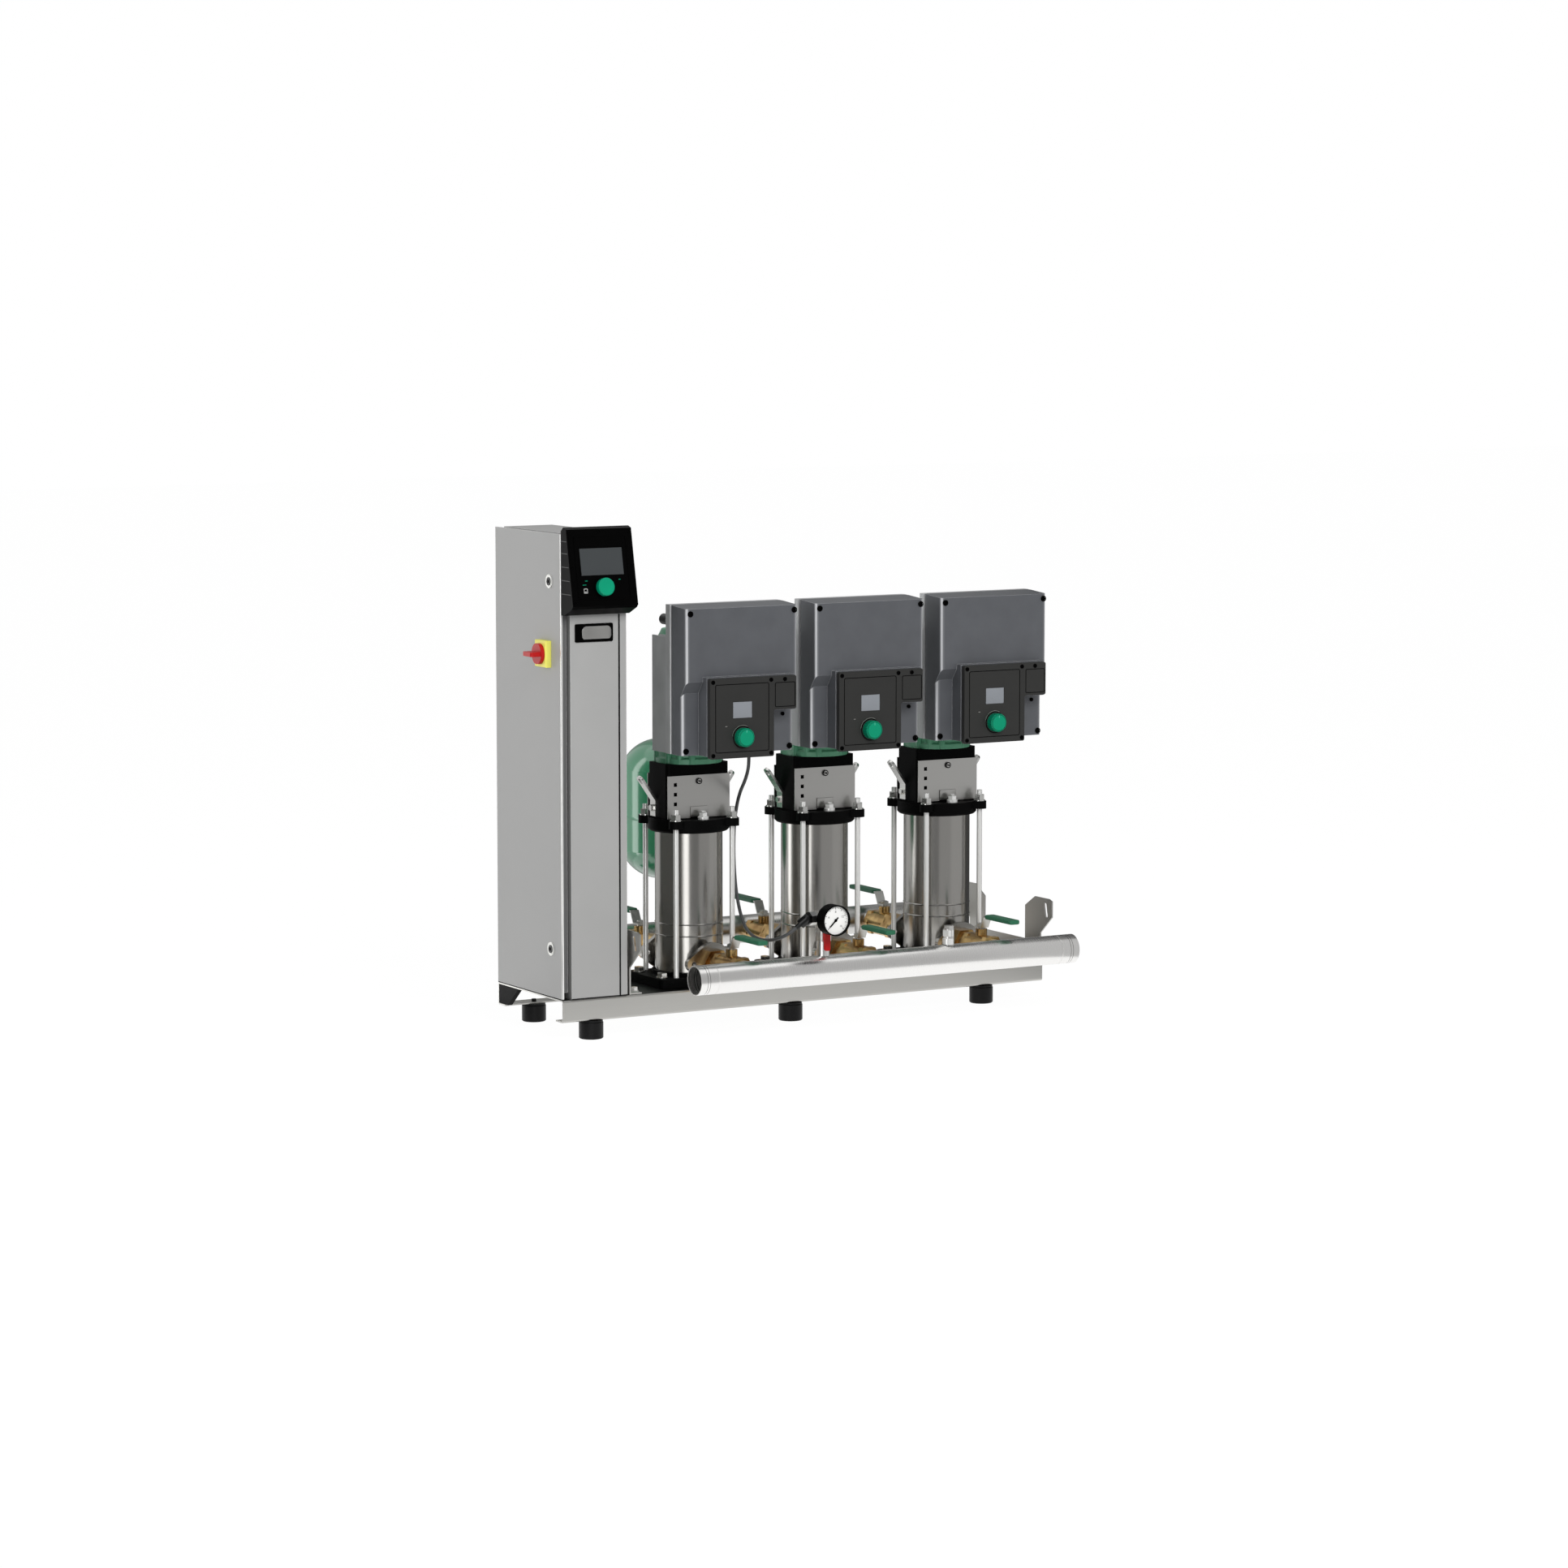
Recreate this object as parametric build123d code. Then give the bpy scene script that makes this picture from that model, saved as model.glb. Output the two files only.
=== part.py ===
from build123d import *
import os
from math import atan2, cos, degrees, pi, radians, sin, sqrt, tan

os.makedirs("parts", exist_ok=True)

# Booster pump set: three vertical multistage pumps between two headers, with a control cabinet.
# X runs along the headers, Y from the front (display side) to the back, Z up from the floor.
# While modelling, X starts at the base's left end and Y at the base's front face.
# Each written piece is moved so that the origin lies on the floor under the middle of the set.

# Base frame: a folded sheet channel, open below, on rubber buffers
base_right = 196.0
base_depth = 290.0
base_height = 46.0
base_sheet = 3.0
base_bend = 4.5
base_lip = 32.0
cable_window_left = 12.0
cable_window_right = 166.0
buffer_height = 38.0
buffer_rubber = 35.0
buffer_diameter = 50.0
buffer_stud = 10.0
buffer_stud_length = 5.0
buffer_inset = 18.0
buffer_left = 73.0
buffer_right = 142.0
buffer_chamfer = 2.0

# Lug plates across the base, each with a lifting lug at its front and back
lug_sheet = 3.0
left_plate_x = 154.0
upstand_height = 37.0
lug_inset = 4.0
lug_neck = 60.0
lug_height = 132.0
lug_reach = 44.5
lug_chin = 38.0
lug_slot_length = 32.0
lug_slot_width = 9.0
lug_slot_tilt = 12.0
lug_slot_in = 23.0
lug_slot_down = 25.0
plate_foot = 28.0

# Control cabinet, its door on the left face, and the folded stand on its right
cabinet_height = 940.0
cabinet_width = 130.0
cabinet_sheet = 2.0
cabinet_rim = 16.0
door_depth = 18.0
door_sheet = 2.0
door_return_inset = 12.0
door_gap = 2.0
stand_gap = 1.0
stand_width = 16.0
stand_height = 880.0
stand_sheet = 2.0
stand_return = 25.0
hinge_inset = 6.0
hinge_pin = 5.0
hinge_thick = 4.0
hinge_down = 150.0
knuckle_tall = 12.0
knuckle_wall = 2.0
lock_inset = 50.0
lock_up = 97.0
lock_down = 99.5
lock_ring = 28.0
lock_insert = 16.0
lock_socket = 7.0
lock_stub = 9.0
cam_length = 38.0
cam_width = 12.0
cam_thick = 2.5
cam_gap = 1.5
insert_proud = 1.0
socket_depth = 4.0
bracket_top = 86.0
bracket_bottom = 38.0
bracket_thick = 10.0

# Door-mounted main switch
switch_inset = 68.0
switch_down = 243.0
switch_plate_side = 54.0
switch_plate_width = 48.0
switch_plate_thick = 13.0
switch_disc = 42.0
switch_disc_thick = 8.0
switch_grip_out = 22.0
switch_grip_long = 38.0
switch_grip_thick = 9.0
switch_shaft = 8.0

# Switchgear behind the door
plate_margin = 14.0
plate_thick = 2.0
plate_stand_off = 8.0
breaker_width = 45.0
breaker_height = 90.0
breaker_depth = 60.0
breaker_row_up = 282.0
controller_width = 180.0
controller_height = 130.0
controller_depth = 45.0
duct_height = 40.0

# Display unit on the cabinet's front, its face tilted upwards
display_width = 147.0
display_above = 10.0
display_height = 172.0
display_face_top = 22.0
display_face_bottom = 52.0
display_chin = 14.0
display_crown = 4.0
display_edge = 6.0
screen_width = 95.0
screen_height = 54.0
screen_thick = 2.0
screen_down = 66.0
display_knob_down = 118.0
display_knob_diameter = 36.0
display_knob_out = 13.0

# Headers: two open stainless tubes
header_overhang = 150.0
header_diameter = 60.3
header_wall = 2.0
header_ring_inset = 40.0
header_ring_width = 2.0
header_ring_depth = 0.6
branch_diameter = 42.4
branch_hole = 34.0
rear_branch_length = 38.0

# Pumps: layout
pump_count = 3
pump_pitch = 300.0
first_pump_x = 351.0
pump_y = 112.0
port_height = 50.0
port_reach = 105.0

# Pump foot
foot_width = 212.0
foot_depth = 157.0
foot_thick = 19.0
foot_corner = 14.0
foot_boss = 7.0
foot_bolts_x = 180.0
foot_bolts_y = 100.0
foot_hole = 13.0

# Pump shell, port necks and oval port flanges
shell_diameter = 140.0
shell_wall = 3.0
shell_height = 293.0
seam_low = 101.0
seam_high = 125.0
seam_bead = 1.2
seam_width = 3.0
neck_diameter = 48.0
port_bore = 32.0
oval_width = 122.0
oval_height = 84.0
oval_lobe = 15.0
oval_thick = 12.0
oval_bolts = 92.0
oval_bolt = 10.0

# Tie rods and nuts
rod_circle = 93.0
rod_diameter = 11.0
rod_stub = 10.0
nut_flats = 19.0
nut_height = 11.0
bolt_head = 7.7
washer_diameter = 24.0
washer_thick = 2.5
hole_clearance = 0.5

# Pump head: flange with four ears, collar and open lantern
collar_diameter = 168.0
collar_height = 7.0
collar_step = 4.0
collar_gap = 2.0
head_flange_thick = 16.0
ear_radius = 14.5
lantern_width = 145.0
lantern_depth = 84.0
lantern_height = 114.0
lintel_height = 26.0
lantern_mouth = 72.0
lantern_wall = 8.0
lantern_corner = 9.0
seal_diameter = 70.0
seal_height = 34.0
seal_shoulder = 24.0
vent_circle = 62.0
vent_flats = 15.0
vent_height = 16.0
guard_sheet = 1.5
guard_bottom = 2.0
guard_lap = 2.0
guard_hole = 7.5
guard_holes = 3
guard_hole_pitch = 20.0
guard_hole_in = 18.0
guard_notch_width = 40.0
guard_notch_height = 22.0
guard_screw = 9.0
guard_screw_head = 3.0
guard_screw_down = 12.6

# Lifting ears on the lantern's side walls
ear_bar_width = 22.0
ear_bar_thick = 5.0
ear_bar_base = 34.0
ear_bar_up = 4.0
ear_head_out = 11.0
ear_bar_length = 62.0
ear_bar_lean = 35.0
ear_bar_y = 12.0
ear_hole = 13.0
ear_bolt = 12.0

# Motor and rotor
motor_flange_diameter = 138.0
motor_flange_height = 30.0
motor_flange_rim = 10.0
motor_flange_step = 5.0
motor_shoulder = 4.0
motor_diameter = 126.0
motor_height = 244.0
motor_cap_height = 16.0
motor_wall = 12.0
motor_ribs = 12
motor_rib_start = -30.0
motor_rib_step = 22.0
rib_height = 3.5
rib_width = 3.0
flange_boss = 15.0
flange_boss_circle = 62.0
flange_boss_height = 27.0
shaft_diameter = 16.0
shaft_seat_gap = 4.0
impeller_diameter = 104.0
impeller_thick = 9.0
impeller_count = 5
first_impeller_up = 99.0
impeller_head_gap = 14.0
coupling_diameter = 52.0
coupling_gap = 8.0
coupling_down = 6.0
rotor_core_diameter = 70.0
rotor_core_up = 34.0
rotor_core_down = 14.0
run_clearance = 0.1
free_clearance = 0.3

# Converter: back plate with cooling fins, cover and control panel
converter_offset = 5.0
converter_spacing = 42.0
converter_up = 5.0
converter_height = 297.0
converter_crown = 5.0
cover_depth = 67.0
converter_step = 18.0
step_up = 126.0
step_height = 24.0
back_plate_thick = 20.0
fin_depth = 63.0
fin_gap = 3.0
fins_down = 61.0
fin_count = 15
fin_thick = 3.5
fin_base = 12.0
fin_inset = 4.0
back_plate_corner = 3.0
cover_corner = 9.0
cover_wall = 4.0
knob_hole_room = 4.0
panel_offset = -10.0
panel_width = 147.0
panel_drop = 5.0
panel_height = 162.0
panel_proud = 27.0
panel_thick = 11.0
panel_corner = 4.0
pedestal_margin = 2.0
side_cover_inset = 18.5
side_cover_height = 68.0
window_width = 44.0
window_height = 33.0
window_in = 97.0
window_depth = 1.2
knob_in = 42.0
knob_offset = 1.0
knob_diameter = 38.0
knob_out = 17.0
knob_shaft = 8.0
gland_diameter = 22.0
gland_length = 28.0
gland_inset = 1.0
gland_down = 27.0
cable_gland_x = 55.0
cable_gland_y = 155.0
cable_gland_diameter = 15.0
cable_gland_length = 10.0

# Ball valves
valve_length = 88.0
valve_body = 52.0
valve_hex = 50.0
valve_hex_long = 16.0
valve_bore = 32.0
ball_diameter = 44.0
stem_diameter = 12.0
stem_neck = 24.0
stem_neck_height = 38.0
stem_top = 50.0
arm_lift = 3.0
stem_nut_flats = 18.0
stem_nut_tall = 7.5
union_length = 31.0
check_length = 65.0
arm_width = 20.0
arm_thick = 3.0
arm_slope_run = 12.0
arm_rise = 24.0
grip_length = 106.0
grip_width = 24.0
grip_thick = 9.0
grip_round = 7.0
grip_edge = 2.7
grip_start = 4.0
grip_past = 3.0
check_diameter = 56.0
check_hex_long = 12.0
union_nut_flats = 54.0
union_diameter = 46.0

# Instruments on the front header
gauge_offset = 148.0
gauge_up = 107.0
gauge_diameter = 63.0
gauge_deep = 30.0
gauge_out = 12.0
gauge_rim = 2.5
gauge_neck = 12.0
dial_depth = 6.0
arbor_diameter = 4.0
arbor_length = 6.0
needle_length = 22.0
needle_tail = 8.0
needle_width = 2.8
needle_hub = 6.4
needle_thick = 1.0
needle_rest = 225.0
stub_diameter = 21.3
socket_diameter = 26.0
socket_height = 30.0
tee_side = 26.0
tee_corner = 4.0
cock_shaft = 6.0
cock_down = 34.0
cock_long = 32.0
cock_wide = 13.0
cock_thick = 5.0
sensor_neck = 5.0
sensor_hex = 24.0
sensor_hex_long = 20.0
connector_diameter = 20.0
connector_long = 28.0
connector_tilt = 40.0
connector_swing = 30.0
plug_stub_height = 34.0
plug_stub_diameter = 22.0
plug_flats = 19.0
plug_height = 6.0

# Diaphragm vessel on the back header
vessel_offset = 115.0
vessel_diameter = 204.0
vessel_bottom = 258.0
vessel_height = 296.0
vessel_dome = 62.0
vessel_stem = 26.9
vessel_nut_flats = 36.0
vessel_nut_tall = 22.0
vessel_nut_down = 34.0
vessel_seam = 3.0
vessel_seam_up = 133.0
vessel_rim = 1.5
vessel_wall = 3.0
vessel_cap_diameter = 26.0
vessel_cap_height = 8.0

# The sensor's cable, from its connector to the gland under the first converter
cable_diameter = 7.0
cable_exit = 18.0
cable_route = [
    (423, -150, 202),
    (420, -126, 194),
    (420, -92, 188),
    (424, -48, 186),
    (431, -4, 189),
    (439, 36, 202),
    (446, 68, 230),
    (449, 88, 270),
    (450, 97, 317),
    (449, 97, 366),
    (447, 90, 412),
    (443, 72, 452),
    (435, 44, 480),
    (424, 10, 500),
    (415.5, -13.5, 514),
    (409, -33, 530),
]

# Places along the set, worked out from the sizes above
base_top = buffer_height + base_height
header_z = base_top + port_height
header_radius = header_diameter / 2
pump_xs = [first_pump_x + pump_pitch * k for k in range(pump_count)]
base_length = pump_xs[-1] + base_right
header_middle_x = (pump_xs[0] + pump_xs[-1]) / 2
header_length = pump_xs[-1] - pump_xs[0] + 2 * header_overhang
header_left = header_middle_x - header_length / 2
right_plate_x = base_length - lug_sheet
gauge_x = pump_xs[0] + gauge_offset
plug_stub_x = pump_xs[1] + gauge_offset
vessel_x = pump_xs[0] + vessel_offset
switch_reach = switch_plate_thick + switch_disc_thick + switch_grip_out

# Places from front to back: valves and headers, counted from the pumps' axis
front_valve_out = port_reach + union_length + valve_length / 2
rear_valve_out = port_reach + check_length + valve_length / 2
header_reach = rear_valve_out + valve_length / 2 + rear_branch_length
front_header_y = pump_y - header_reach
rear_header_y = pump_y + header_reach
gauge_face_y = front_header_y - tee_side / 2 - gauge_out - gauge_deep

# Heights of one pump, counted from the base's top
seat_top = foot_thick + foot_boss
shell_top = seat_top + shell_height
flange_bottom = shell_top + collar_height
flange_top = flange_bottom + head_flange_thick
lantern_top = flange_top + lantern_height
lintel_bottom = lantern_top - lintel_height
motor_flange_top = lantern_top + motor_flange_height
motor_top = motor_flange_top + motor_height
coupling_bottom = flange_top + seal_height + coupling_gap
coupling_top = lantern_top - coupling_down
rotor_core_bottom = motor_flange_top + rotor_core_up
rotor_core_top = motor_top - motor_cap_height - rotor_core_down
impeller_first = seat_top + first_impeller_up
impeller_pitch = (shell_top - impeller_head_gap - impeller_first) / impeller_count
rod_offset = rod_circle / sqrt(2)

# The converter about its pump's axis: heights, then distances to the front
converter_width = pump_pitch - converter_spacing
converter_left = converter_offset - converter_width / 2
converter_right = converter_offset + converter_width / 2
converter_bottom = motor_flange_top + converter_up
converter_top = converter_bottom + converter_height
step_bottom = converter_bottom + step_up
step_top = step_bottom + step_height
fins_top = converter_top - fins_down
gland_up = converter_top - gland_down
panel_bottom = converter_bottom - panel_drop
panel_top = panel_bottom + panel_height
side_cover_bottom = panel_top - side_cover_height
window_up = panel_bottom + window_in
knob_up = panel_bottom + knob_in
fins_back = motor_diameter / 2 + fin_gap
plate_back = fins_back + fin_depth
cover_back = plate_back + back_plate_thick
converter_front = cover_back + cover_depth
panel_front = converter_front + panel_proud
panel_back = panel_front - panel_thick
panel_left = panel_offset - panel_width / 2
panel_right = panel_offset + panel_width / 2
side_cover_right = converter_right - side_cover_inset

# The set's outer limits, from which the origin on the floor is worked out
set_left = -switch_reach
set_right = base_length
set_front = gauge_face_y
set_back = rear_header_y + vessel_diameter / 2 + vessel_rim
origin = Vector((set_left + set_right) / 2, (set_front + set_back) / 2, 0)


def block(x, y, z):
    """A box between two X, two Y and two Z values."""
    sides = (x[1] - x[0], y[1] - y[0], z[1] - z[0])
    middle = ((x[0] + x[1]) / 2, (y[0] + y[1]) / 2, (z[0] + z[1]) / 2)
    return Pos(*middle) * Box(*sides)


def bar(diameter, length, start, along="z"):
    """A round bar from a start point, in the +X, +Y, -Y, +Z or -X direction."""
    turns = {"z": (0, 0, 0), "x": (0, 90, 0), "-x": (0, -90, 0), "y": (-90, 0, 0), "-y": (90, 0, 0)}
    stock = Cylinder(diameter / 2, length, align=(Align.CENTER, Align.CENTER, Align.MIN))
    return Pos(*start) * Rot(*turns[along]) * stock


def hexagon(flats, length, start, along="z"):
    """A hexagonal bar with the given width across its flats."""
    turns = {"z": (0, 0, 0), "x": (0, 90, 0), "-x": (0, -90, 0), "y": (-90, 0, 0), "-y": (90, 0, 0)}
    section = RegularPolygon(flats / 2, 6, major_radius=False)
    return Pos(*start) * Rot(*turns[along]) * extrude(section, amount=length)


def turned(profile):
    """A solid of revolution about Z from (radius, height) corners."""
    outline = Polyline(*[(radius, 0, height) for radius, height in profile], close=True)
    return revolve(make_face(outline), Axis.Z)


def side_plane(x, y=0, z=0):
    """A plane facing +X whose own axes run along Y and Z."""
    return Plane(origin=(x, y, z), x_dir=(0, 1, 0), z_dir=(1, 0, 0))


def front_plane(y, x=0, z=0):
    """A plane facing -Y whose own axes run along X and Z."""
    return Plane(origin=(x, y, z), x_dir=(1, 0, 0), z_dir=(0, -1, 0))


def slab(plane, corners, thickness):
    """A flat plate: corners in the plane's own axes, thickened along its normal."""
    return extrude(plane * make_face(Polyline(*corners, close=True)), amount=thickness)


def upright_edges(solid):
    return solid.edges().filter_by(Axis.Z)


def write(name, solids):
    """Moves the solids to the shared origin and writes them as one node."""
    pieces = solids if isinstance(solids, list) else [solids]
    found = [solid for piece in pieces for solid in piece.solids()]
    moved = [solid.moved(Location(-origin)) for solid in found]
    node = moved[0] if len(moved) == 1 else Compound(children=moved)
    export_step(node, f"parts/{name}.step")


# Base frame and buffers

buffer_xs = [buffer_left, (buffer_left + base_length - buffer_right) / 2, base_length - buffer_right]
buffer_ys = [buffer_inset, base_depth - buffer_inset]
foot_bolt_spots = [
    (x + side * foot_bolts_x / 2, pump_y + end * foot_bolts_y / 2)
    for x in pump_xs
    for side in (-1, 1)
    for end in (-1, 1)
]


def make_base():
    """A C-shaped channel with rounded bends, drilled for the buffers and the pump feet."""
    outside = RectangleRounded(base_depth, base_height, base_bend)
    inside = RectangleRounded(
        base_depth - 2 * base_sheet, base_height - 2 * base_sheet, base_bend - base_sheet
    )
    slot = Pos(0, -base_height / 2) * Rectangle(base_depth - 2 * base_lip, 3 * base_sheet)
    left_end = side_plane(0, base_depth / 2, buffer_height + base_height / 2)
    frame = extrude(left_end * (outside - inside - slot), amount=base_length)
    window_x = (cable_window_left, cable_window_right)
    window_y = (base_depth - base_bend, base_depth + 1)
    frame -= block(window_x, window_y, (buffer_height + base_bend, base_top - base_bend))
    for x in buffer_xs:
        for y in buffer_ys:
            hole = buffer_stud + 2 * hole_clearance
            frame -= bar(hole, 2 * base_sheet, (x, y, buffer_height - base_sheet / 2))
    for x, y in foot_bolt_spots:
        frame -= bar(foot_hole, 2 * base_sheet, (x, y, base_top - 1.5 * base_sheet))
    return frame


def make_buffer(x, y):
    """A rubber buffer under a steel disc, with the stud that goes through the base's lip."""
    wide = buffer_diameter / 2
    narrow = wide - buffer_chamfer
    disc = wide - buffer_chamfer / 2
    stud_top = buffer_height + base_sheet + buffer_stud_length
    profile = [
        (0, 0),
        (narrow, 0),
        (wide, buffer_chamfer),
        (wide, buffer_rubber - buffer_chamfer),
        (narrow, buffer_rubber),
        (disc, buffer_rubber),
        (disc, buffer_height),
        (buffer_stud / 2, buffer_height),
        (buffer_stud / 2, stud_top),
        (0, stud_top),
    ]
    return Pos(x, y, 0) * turned(profile)


def make_lug_plate(x, inward):
    """An upstand across the base with a slotted lug at each end and a foot bent along the base."""
    half = base_depth / 2
    lug_side = [
        (lug_inset, 0),
        (lug_inset, lug_height - 2 * lug_chin),
        (-lug_reach + lug_inset, lug_height - lug_chin),
        (-lug_reach + lug_inset, lug_height - lug_inset),
        (-lug_reach + 4 * lug_inset, lug_height),
        (lug_inset + lug_neck - lug_chin, lug_height),
        (lug_inset + lug_neck, lug_height - lug_chin * 0.6),
        (lug_inset + lug_neck, upstand_height),
    ]
    outline = [(y - half, z) for y, z in lug_side]
    outline += [(half - y, z) for y, z in reversed(lug_side)]
    face = make_face(Polyline(*outline, close=True))
    for end in (-1, 1):
        slot = Rot(0, 0, 90 + end * lug_slot_tilt) * SlotOverall(lug_slot_length, lug_slot_width)
        across = half + lug_reach - lug_inset - lug_slot_in
        face -= Pos(end * across, lug_height - lug_slot_down) * slot
    plate = extrude(side_plane(x, half, base_top) * face, amount=lug_sheet)
    if inward > 0:
        foot_x = (x, x + plate_foot)
    else:
        foot_x = (x + lug_sheet - plate_foot, x + lug_sheet)
    foot_y = (lug_inset, base_depth - lug_inset)
    plate += block(foot_x, foot_y, (base_top, base_top + lug_sheet))
    return plate


write("base_frame", make_base())
write("rubber_buffers", [make_buffer(x, y) for x in buffer_xs for y in buffer_ys])
write("lug_plates", [make_lug_plate(left_plate_x, 1), make_lug_plate(right_plate_x, -1)])

# Control cabinet

cabinet_left = door_depth + door_gap
cabinet_top = base_top + cabinet_height
door_bottom = base_top + door_gap
hinge_x = hinge_inset
hinge_y = base_depth - hinge_inset
hinge_zs = [door_bottom + hinge_down, cabinet_top - hinge_down]
lock_zs = {"lower": base_top + lock_down, "upper": cabinet_top - lock_up}
switch_z = cabinet_top - switch_down
stand_left = cabinet_width + stand_gap
stand_right = stand_left + stand_width


def make_cabinet_body():
    """A sheet box, open to the left inside a folded rim, with the two hinge brackets."""
    sheet = cabinet_sheet
    body = block((cabinet_left, cabinet_width), (0, base_depth), (base_top, cabinet_top))
    hollow_x = (cabinet_left + sheet, cabinet_width - sheet)
    hollow_y = (sheet, base_depth - sheet)
    hollow_z = (base_top + sheet, cabinet_top - sheet)
    body -= block(hollow_x, hollow_y, hollow_z)
    mouth_y = (cabinet_rim, base_depth - cabinet_rim)
    mouth_z = (base_top + cabinet_rim, cabinet_top - cabinet_rim)
    body -= block((cabinet_left - sheet, cabinet_left + 2 * sheet), mouth_y, mouth_z)
    for z in hinge_zs:
        plate_y = (hinge_y - hinge_thick, hinge_y + hinge_thick / 2)
        plate = block((hinge_x - hinge_thick / 2, cabinet_left), plate_y, (z, z + hinge_thick))
        body += plate + bar(hinge_pin, hinge_thick + knuckle_tall, (hinge_x, hinge_y, z))
    return body


def make_door():
    """A flat door with an inset return behind it, knuckles for the hinge pins and lock rings."""
    door = block((0, door_sheet), (0, base_depth), (door_bottom, cabinet_top))
    inset = door_return_inset
    outer_y = (inset, base_depth - inset)
    outer_z = (door_bottom + inset, cabinet_top - inset)
    inner_y = (inset + door_sheet, base_depth - inset - door_sheet)
    inner_z = (outer_z[0] + door_sheet, outer_z[1] - door_sheet)
    door += block((0, door_depth), outer_y, outer_z)
    door -= block((door_sheet, door_depth + 1), inner_y, inner_z)
    half = hinge_pin / 2 + knuckle_wall
    for z in hinge_zs:
        knuckle_z = (z + hinge_thick + free_clearance, z + hinge_thick + knuckle_tall)
        knuckle = block((door_sheet, hinge_x + half), (hinge_y - half, hinge_y + half), knuckle_z)
        bore = hinge_pin + 2 * run_clearance
        door += knuckle - bar(bore, knuckle_tall + hinge_thick, (hinge_x, hinge_y, z))
    for z in lock_zs.values():
        door += bar(lock_ring, 2 * door_sheet, (-door_sheet, lock_inset, z), "x")
        bore = lock_insert + 2 * run_clearance
        door -= bar(bore, door_depth, (-door_depth / 2, lock_inset, z), "x")
    bore = switch_shaft + 2 * run_clearance
    door -= bar(bore, door_depth, (-door_depth / 2, switch_inset, switch_z), "x")
    return door


def make_lock(z):
    """A quarter-turn insert with a square socket, its shaft and the cam that grips the rim."""
    cam_x = cabinet_left + cabinet_sheet + cam_gap
    face_x = -door_sheet - insert_proud
    insert = bar(lock_insert, door_sheet - face_x, (face_x, lock_inset, z), "x")
    half = lock_socket / 2
    socket_x = (face_x - 1, face_x + socket_depth)
    insert -= block(socket_x, (lock_inset - half, lock_inset + half), (z - half, z + half))
    shaft_start = face_x + socket_depth
    shaft_end = cam_x + cam_thick + cam_gap
    insert += bar(lock_stub, shaft_end - shaft_start, (shaft_start, lock_inset, z), "x")
    cam_y = (lock_inset - cam_width / 2, lock_inset + cam_width / 2)
    cam_z = (z - cam_width / 2, z + cam_length)
    return insert + block((cam_x, cam_x + cam_thick), cam_y, cam_z)


def make_switch_plate():
    """The square plate under the main switch's handle."""
    half_y = switch_plate_width / 2
    half_z = switch_plate_side / 2
    sides_y = (switch_inset - half_y, switch_inset + half_y)
    plate = block((-switch_plate_thick, 0), sides_y, (switch_z - half_z, switch_z + half_z))
    bore = switch_shaft + 2 * run_clearance
    plate = chamfer(plate.faces().sort_by(Axis.X)[0].edges(), cabinet_sheet)
    start_x = -1.5 * switch_plate_thick
    return plate - bar(bore, 2 * switch_plate_thick, (start_x, switch_inset, switch_z), "x")


def make_switch_handle():
    """The rotary handle: a disc with a proud grip and the shaft through the door."""
    face_x = -switch_plate_thick - free_clearance
    disc = bar(switch_disc, switch_disc_thick, (face_x, switch_inset, switch_z), "-x")
    grip_x = (-switch_reach, face_x - switch_disc_thick / 2)
    half_y = switch_grip_long / 2
    half_z = switch_grip_thick / 2
    grip_y = (switch_inset - half_y, switch_inset + half_y)
    grip = block(grip_x, grip_y, (switch_z - half_z, switch_z + half_z))
    grip = fillet(grip.edges().filter_by(Axis.Z), switch_grip_thick / 2)
    shaft_length = door_depth - door_sheet - face_x
    shaft = bar(switch_shaft, shaft_length, (face_x - 1, switch_inset, switch_z), "x")
    return disc + grip + shaft


def make_stand():
    """The folded upright beside the cabinet, with its foot bolted to the base."""
    stand = block((stand_left, stand_right), (0, base_depth), (base_top, base_top + stand_height))
    room_y = (stand_sheet, base_depth - stand_sheet)
    room_z = (base_top - 1, base_top + stand_height + 1)
    stand -= block((stand_left + stand_sheet, stand_right + 1), room_y, room_z)
    for edge_y in ((0, stand_return), (base_depth - stand_return, base_depth)):
        lip_x = (stand_right - stand_sheet, stand_right)
        stand += block(lip_x, edge_y, (base_top, base_top + stand_height))
    return stand


def make_switchgear():
    """The mounting plate with its stand-offs, the controller, three breakers and a wiring duct."""
    plate_x = cabinet_width - cabinet_sheet - plate_stand_off - plate_thick
    edge = cabinet_sheet + plate_margin
    plate_y = (edge, base_depth - edge)
    plate_z = (base_top + edge, cabinet_top - edge)
    plate = block((plate_x, plate_x + plate_thick), plate_y, plate_z)
    for y in (plate_y[0] + plate_margin, plate_y[1] - plate_margin):
        for z in (plate_z[0] + plate_margin, plate_z[1] - plate_margin):
            plate += bar(plate_stand_off, plate_stand_off, (plate_x + plate_thick, y, z), "x")
    middle_y = base_depth / 2
    gear = [plate]
    row_z = base_top + breaker_row_up
    for k in range(pump_count):
        left = middle_y + (k - pump_count / 2) * (breaker_width + 1)
        spans = ((plate_x - breaker_depth, plate_x), (left, left + breaker_width))
        gear.append(block(*spans, (row_z, row_z + breaker_height)))
    duct_z = row_z + breaker_height + duct_height / 2
    duct_y = (plate_y[0] + plate_margin, plate_y[1] - plate_margin)
    gear.append(block((plate_x - duct_height, plate_x), duct_y, (duct_z, duct_z + duct_height)))
    box_z = duct_z + 1.5 * duct_height
    box_y = (middle_y - controller_width / 2, middle_y + controller_width / 2)
    gear.append(block((plate_x - controller_depth, plate_x), box_y, (box_z, box_z + controller_height)))
    return gear


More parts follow.
